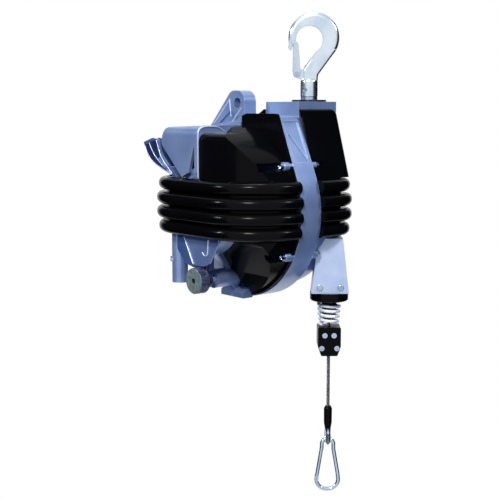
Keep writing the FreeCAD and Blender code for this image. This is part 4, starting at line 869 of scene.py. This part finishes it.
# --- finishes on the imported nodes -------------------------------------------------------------
@dataclass
class Dresser:
    """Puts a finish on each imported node."""

    made: dict[Finish, bpy.types.Material] = field(default_factory=dict)

    def prepare(self) -> None:
        """Build every finish once."""
        finishes = {
            Finish.PAINT: SilverEnamel(),
            # A darker copy of the silver enamel: painted shade on the spout and the gear cover.
            Finish.PAINTED_SHADE_ENAMEL: SilverEnamel("spout_painted_shade", srgb(128, 146, 190), srgb(88, 108, 160), 0.5,
                                       0.34),
            # The lever's blue enamel, which also serves as painted shade on the casting's webs.
            Finish.BLUE_ENAMEL_AND_WEB_SHADE: SilverEnamel("lever_blue_and_web_shade", srgb(84, 116, 172), srgb(44, 70, 130), 0.45,
                                       0.34),
            Finish.BLACK: MouldedBlack(),
            Finish.RUBBER: SlickRubber(),
            # The hook's darkened edges are a painted reflection.
            Finish.HOOK: BrightPlate("hook_zinc", srgb(214, 226, 236), srgb(142, 162, 188), 0.27,
                                     painted_edge_reflection=0.7),
            Finish.ZINC: BrightPlate("small_zinc", srgb(190, 206, 226), srgb(112, 132, 172), 0.24),
            Finish.PLATE: BrightPlate("satin_plate", srgb(204, 216, 236), srgb(160, 180, 216), 0.4,
                                      (20.0, 20.0, 400.0), metal=0.25),
            Finish.CLAMP: MouldedBlack("clamp_black", srgb(6, 6, 8), 0.26, 0.00002),
            Finish.OXIDE: DarkOxide(),
            Finish.KNOB: KnobFinish(),
            # Painted shade: a dark enamel for the floor of the lever's channel.
            Finish.PAINTED_CHANNEL_SHADE: SilverEnamel("channel_floor_painted_shade", srgb(24, 42, 104), srgb(10, 20, 64), 0.4, 0.34,
                                       worn=0.3),
            # Painted highlight: a pale enamel for ribs and lips.
            Finish.PAINTED_HIGHLIGHT: SilverEnamel("painted_highlight_enamel", srgb(214, 224, 240), srgb(178, 194, 224), 0.4,
                                        0.34),
            Finish.NYLON: PlainMoulding("bush_nylon", srgb(226, 226, 220), srgb(206, 206, 198), 0.45),
            Finish.COIL: BrightPlate("coated_coil", srgb(250, 250, 250), srgb(234, 238, 244), 0.3,
                                     metal=0.3),
            Finish.WIRES: WireLay(),
            Finish.BRONZE: BrightPlate("bearing_bronze", srgb(196, 156, 96), srgb(140, 100, 58), 0.32),
            Finish.GROUND: BrightPlate("ground_steel", srgb(178, 182, 190), srgb(130, 136, 148), 0.28,
                                       (300.0, 20.0, 20.0)),
            Finish.BLUED: BrightPlate("blued_strip", srgb(84, 92, 120), srgb(54, 58, 80), 0.3),
            Finish.TURNED: BrightPlate("turned_aluminium", srgb(198, 202, 210), srgb(160, 166, 180),
                                       0.33, (400.0, 30.0, 30.0)),
        }
        self.made = {key: finish.make() for key, finish in finishes.items()}

    def table(self) -> dict[Finish, tuple[str, ...]]:
        """Say which finish each node wears.

        Returns:
            The nodes of each finish.
        """
        return {
            Finish.PAINT: ("drum_frame", "spring_case", "gear_lid"),
            Finish.PAINTED_SHADE_ENAMEL: ("rope_guide",),
            Finish.BLUE_ENAMEL_AND_WEB_SHADE: ("lock_lever",),
            Finish.BLACK: ("left_cover", "right_cover"),
            Finish.RUBBER: ("left_bumper", "right_bumper", "buffer_block", "buffer_core"),
            Finish.HOOK: ("suspension_hook", "hook_latch"),
            Finish.ZINC: ("carabiner", "carabiner_gate", "thimble", "case_bolts", "guide_screws",
                          "clamp_screws", "case_nuts", "tube_screw", "latch_pin", "gate_pin",
                          "stem_pin", "swivel_stem", "lever_shaft", "lock_pawl", "lock_pin",
                          "stem_nut"),
            Finish.PLATE: ("guide_plate",),
            Finish.CLAMP: ("clamp_front", "clamp_back", "rope_sleeve"),
            Finish.OXIDE: ("swivel_washer", "latch_spring"),
            Finish.KNOB: ("lock_knob",),
            Finish.NYLON: ("guide_bush",),
            Finish.COIL: ("buffer_spring",),
            Finish.WIRES: ("rope_eye", "rope_turns", "rope_upper", "rope_lower"),
            Finish.BRONZE: ("arbor_bushes", "worm_wheel"),
            Finish.GROUND: ("arbor_shaft", "worm", "drum_bearings", "ratchet_ring", "thrust_bearing"),
            Finish.BLUED: ("mainspring",),
            Finish.TURNED: ("rope_drum", "spring_barrel", "barrel_lid"),
        }

    def dress(self, nodes: Iterable[str]) -> None:
        """Give each node its finish and report it.

        Args:
            nodes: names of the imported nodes.
        """
        wears = {node: key for key, group in self.table().items() for node in group}
        for node in nodes:
            piece = bpy.data.objects[node]
            finish = self.made[wears.get(node, Finish.PAINT)]
            if not piece.material_slots:
                piece.data.materials.append(finish)
            for place in piece.material_slots:
                place.material = finish
            LOG.info("%s wears %s", node, finish.name)


# --- studio -----------------------------------------------------------------------------------
@dataclass(frozen=True)
class Lamp:
    """A square soft lamp, set off from the piece's middle by metres."""

    name: str
    offset: tuple[float, float, float]
    size: float
    power: float
    colour: Colour


@dataclass
class Studio:
    """White floor and room, two dark cards, four soft lamps and the camera."""

    floor_drop: float = 2.2
    floor_size: float = 40.0
    floor_colour: Colour = srgb(244, 244, 246)
    floor_rough: float = 0.9
    camera_at: tuple[float, float, float] = (-1009.3, -1219.7, 152.4)
    heading: float = 40.0
    pitch: float = 7.7
    lens: float = 76.83
    sensor: float = 36.0
    ambient: Colour = (0.09, 0.15, 0.33)
    flag_reach: float = 2.4
    flag_shift: float = -0.7
    flag_size: float = 5.0
    turned_lamps: tuple[Lamp, ...] = (
        Lamp("key", (-0.45, 1.2, 2.1), 0.4, 48.0, (1.0, 1.0, 1.0)),
        Lamp("fill", (1.9, 1.2, 1.0), 0.2, 20.0, (0.85, 0.92, 1.0)),
        Lamp("left", (-2.0, 0.9, 0.7), 0.25, 26.0, (0.92, 0.96, 1.0)),
    )
    upright_lamp: Lamp = Lamp("top", (0.1, 0.2, 1.9), 0.6, 14.0, (0.9, 0.95, 1.0))

    def floor(self) -> None:
        """Lay the floor below the rope's full travel: plain white to see, pale to the light."""
        low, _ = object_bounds()
        bpy.ops.object.select_all(action="DESELECT")
        bpy.ops.mesh.primitive_plane_add(size=self.floor_size, location=(0, 0, low[2] - self.floor_drop))
        ground = bpy.context.object
        ground.name = "floor"
        graph = Graph("pale_floor")
        path = graph.add("ShaderNodeLightPath", {}, {}, "Is Camera Ray")
        glossy = graph.add("ShaderNodeLightPath", {}, {}, "Is Glossy Ray")
        through = graph.add("ShaderNodeLightPath", {}, {}, "Is Transmission Ray")
        white = graph.add("ShaderNodeEmission", {}, {"Color": (1, 1, 1, 1), "Strength": 1.0})
        mixed = graph.add("ShaderNodeMixShader", {}, {0: path + glossy + through})
        graph.feed(Base_Color=self.floor_colour, Roughness=self.floor_rough)
        tree = graph.tree
        tree.links.new(graph.shader.outputs[0], mixed.socket.node.inputs[1])
        tree.links.new(white.socket, mixed.socket.node.inputs[2])
        output = next(node for node in tree.nodes if node.type == "OUTPUT_MATERIAL")
        tree.links.new(mixed.socket, output.inputs[0])
        ground.data.materials.append(graph.material)
        ground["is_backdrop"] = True

    def sky(self) -> None:
        """Make the room white to see and in reflections, and cool and dim as a light."""
        world = bpy.data.worlds.new("room")
        bpy.context.scene.world = world
        world.use_nodes = True
        tree = world.node_tree
        tree.nodes.clear()
        light = tree.nodes.new("ShaderNodeLightPath")
        room = tree.nodes.new("ShaderNodeBackground")
        room.inputs[0].default_value = (*self.ambient, 1.0)
        seen = light.outputs["Is Camera Ray"]
        for kind in ("Is Glossy Ray", "Is Transmission Ray"):
            total = tree.nodes.new("ShaderNodeMath")
            total.operation = "MAXIMUM"
            tree.links.new(seen, total.inputs[0])
            tree.links.new(light.outputs[kind], total.inputs[1])
            seen = total.outputs[0]
        white = tree.nodes.new("ShaderNodeBackground")
        white.inputs[0].default_value = (1, 1, 1, 1)
        white.inputs[1].default_value = 1.0
        mix = tree.nodes.new("ShaderNodeMixShader")
        output = tree.nodes.new("ShaderNodeOutputWorld")
        tree.links.new(seen, mix.inputs[0])
        tree.links.new(room.outputs[0], mix.inputs[1])
        tree.links.new(white.outputs[0], mix.inputs[2])
        tree.links.new(mix.outputs[0], output.inputs[0])

    def flags(self) -> None:
        """Stand a black card on each side, seen only in reflections, to darken metal's edges."""
        middle = PLACE.at(0, 0, 0)
        side = self.frame_of_view()
        for name, across in (("flag_left", -1.0), ("flag_right", 1.0)):
            bpy.ops.object.select_all(action="DESELECT")
            bpy.ops.mesh.primitive_plane_add(size=self.flag_size)
            card = bpy.context.object
            card.name = name
            place = middle + side @ Vector((across * self.flag_reach, 0.0, self.flag_shift))
            card.matrix_world = (Matrix.Translation(place) @ side.to_4x4()
                                 @ Matrix.Rotation(math.radians(90.0), 4, "Y"))
            graph = Graph(f"{name}_card")
            black = graph.feed(Base_Color=(0.0, 0.0, 0.0), Specular_IOR_Level=0.0, Roughness=1.0)
            card.data.materials.append(black)
            card.visible_camera = False
            card.visible_diffuse = False
            card.visible_shadow = False
            card.visible_transmission = False
            card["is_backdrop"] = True

    def hang(self, lamp: Lamp, spot: Vector, target: Vector) -> None:
        """Hang a lamp so that it looks at a target.

        Args:
            lamp: the lamp.
            spot: where it hangs, in metres.
            target: what it looks at, in metres.
        """
        data = bpy.data.lights.new(lamp.name, "AREA")
        data.size = lamp.size
        data.energy = lamp.power
        data.color = lamp.colour
        hung = bpy.data.objects.new(lamp.name, data)
        hung.location = spot
        hung.rotation_euler = (target - spot).to_track_quat("-Z", "Y").to_euler()
        bpy.context.scene.collection.objects.link(hung)

    def lamps(self) -> None:
        """Hang three lamps in the view's axes and one upright above the piece."""
        middle = PLACE.at(0, 0, 0)
        side = self.frame_of_view()
        for lamp in self.turned_lamps:
            self.hang(lamp, middle + side @ Vector(lamp.offset), middle)
        self.hang(self.upright_lamp, middle + Vector(self.upright_lamp.offset), middle)

    def frame_of_view(self) -> Matrix:
        """Work out the camera's axes.

        Returns:
            Right, up and back, as columns.
        """
        heading, pitch = math.radians(self.heading), math.radians(self.pitch)
        right = Vector((math.cos(heading), -math.sin(heading), 0))
        ahead = Vector((math.sin(heading) * math.cos(pitch), math.cos(heading) * math.cos(pitch),
                        -math.sin(pitch)))
        above = right.cross(ahead)
        return Matrix((right, above, -ahead)).transposed()

    def camera(self) -> None:
        """Set the camera up."""
        data = bpy.data.cameras.new("view")
        data.lens = self.lens
        data.sensor_width = self.sensor
        eye = bpy.data.objects.new("view", data)
        eye.matrix_world = Matrix.Translation(PLACE.at(*self.camera_at)) @ self.frame_of_view().to_4x4()
        bpy.context.scene.collection.objects.link(eye)
        bpy.context.scene.camera = eye

    def build(self) -> None:
        """Set the whole studio up."""
        for part in (self.floor, self.sky, self.flags, self.lamps, self.camera):
            part()
        bpy.context.scene.view_settings.view_transform = "Standard"


def main() -> None:
    """Load the frame, dress it and set the studio up."""
    logging.basicConfig(level=logging.INFO, format="%(name)s: %(message)s")
    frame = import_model()
    bpy.ops.object.select_all(action="DESELECT")
    dresser = Dresser()
    dresser.prepare()
    dresser.dress(frame["nodes"])
    rope = WireRope()
    piece = rope.build(dresser.made[Finish.WIRES])
    rope.declare()
    Trim(dresser.made).build()
    Studio().build()


if __name__ == "__main__":
    main()
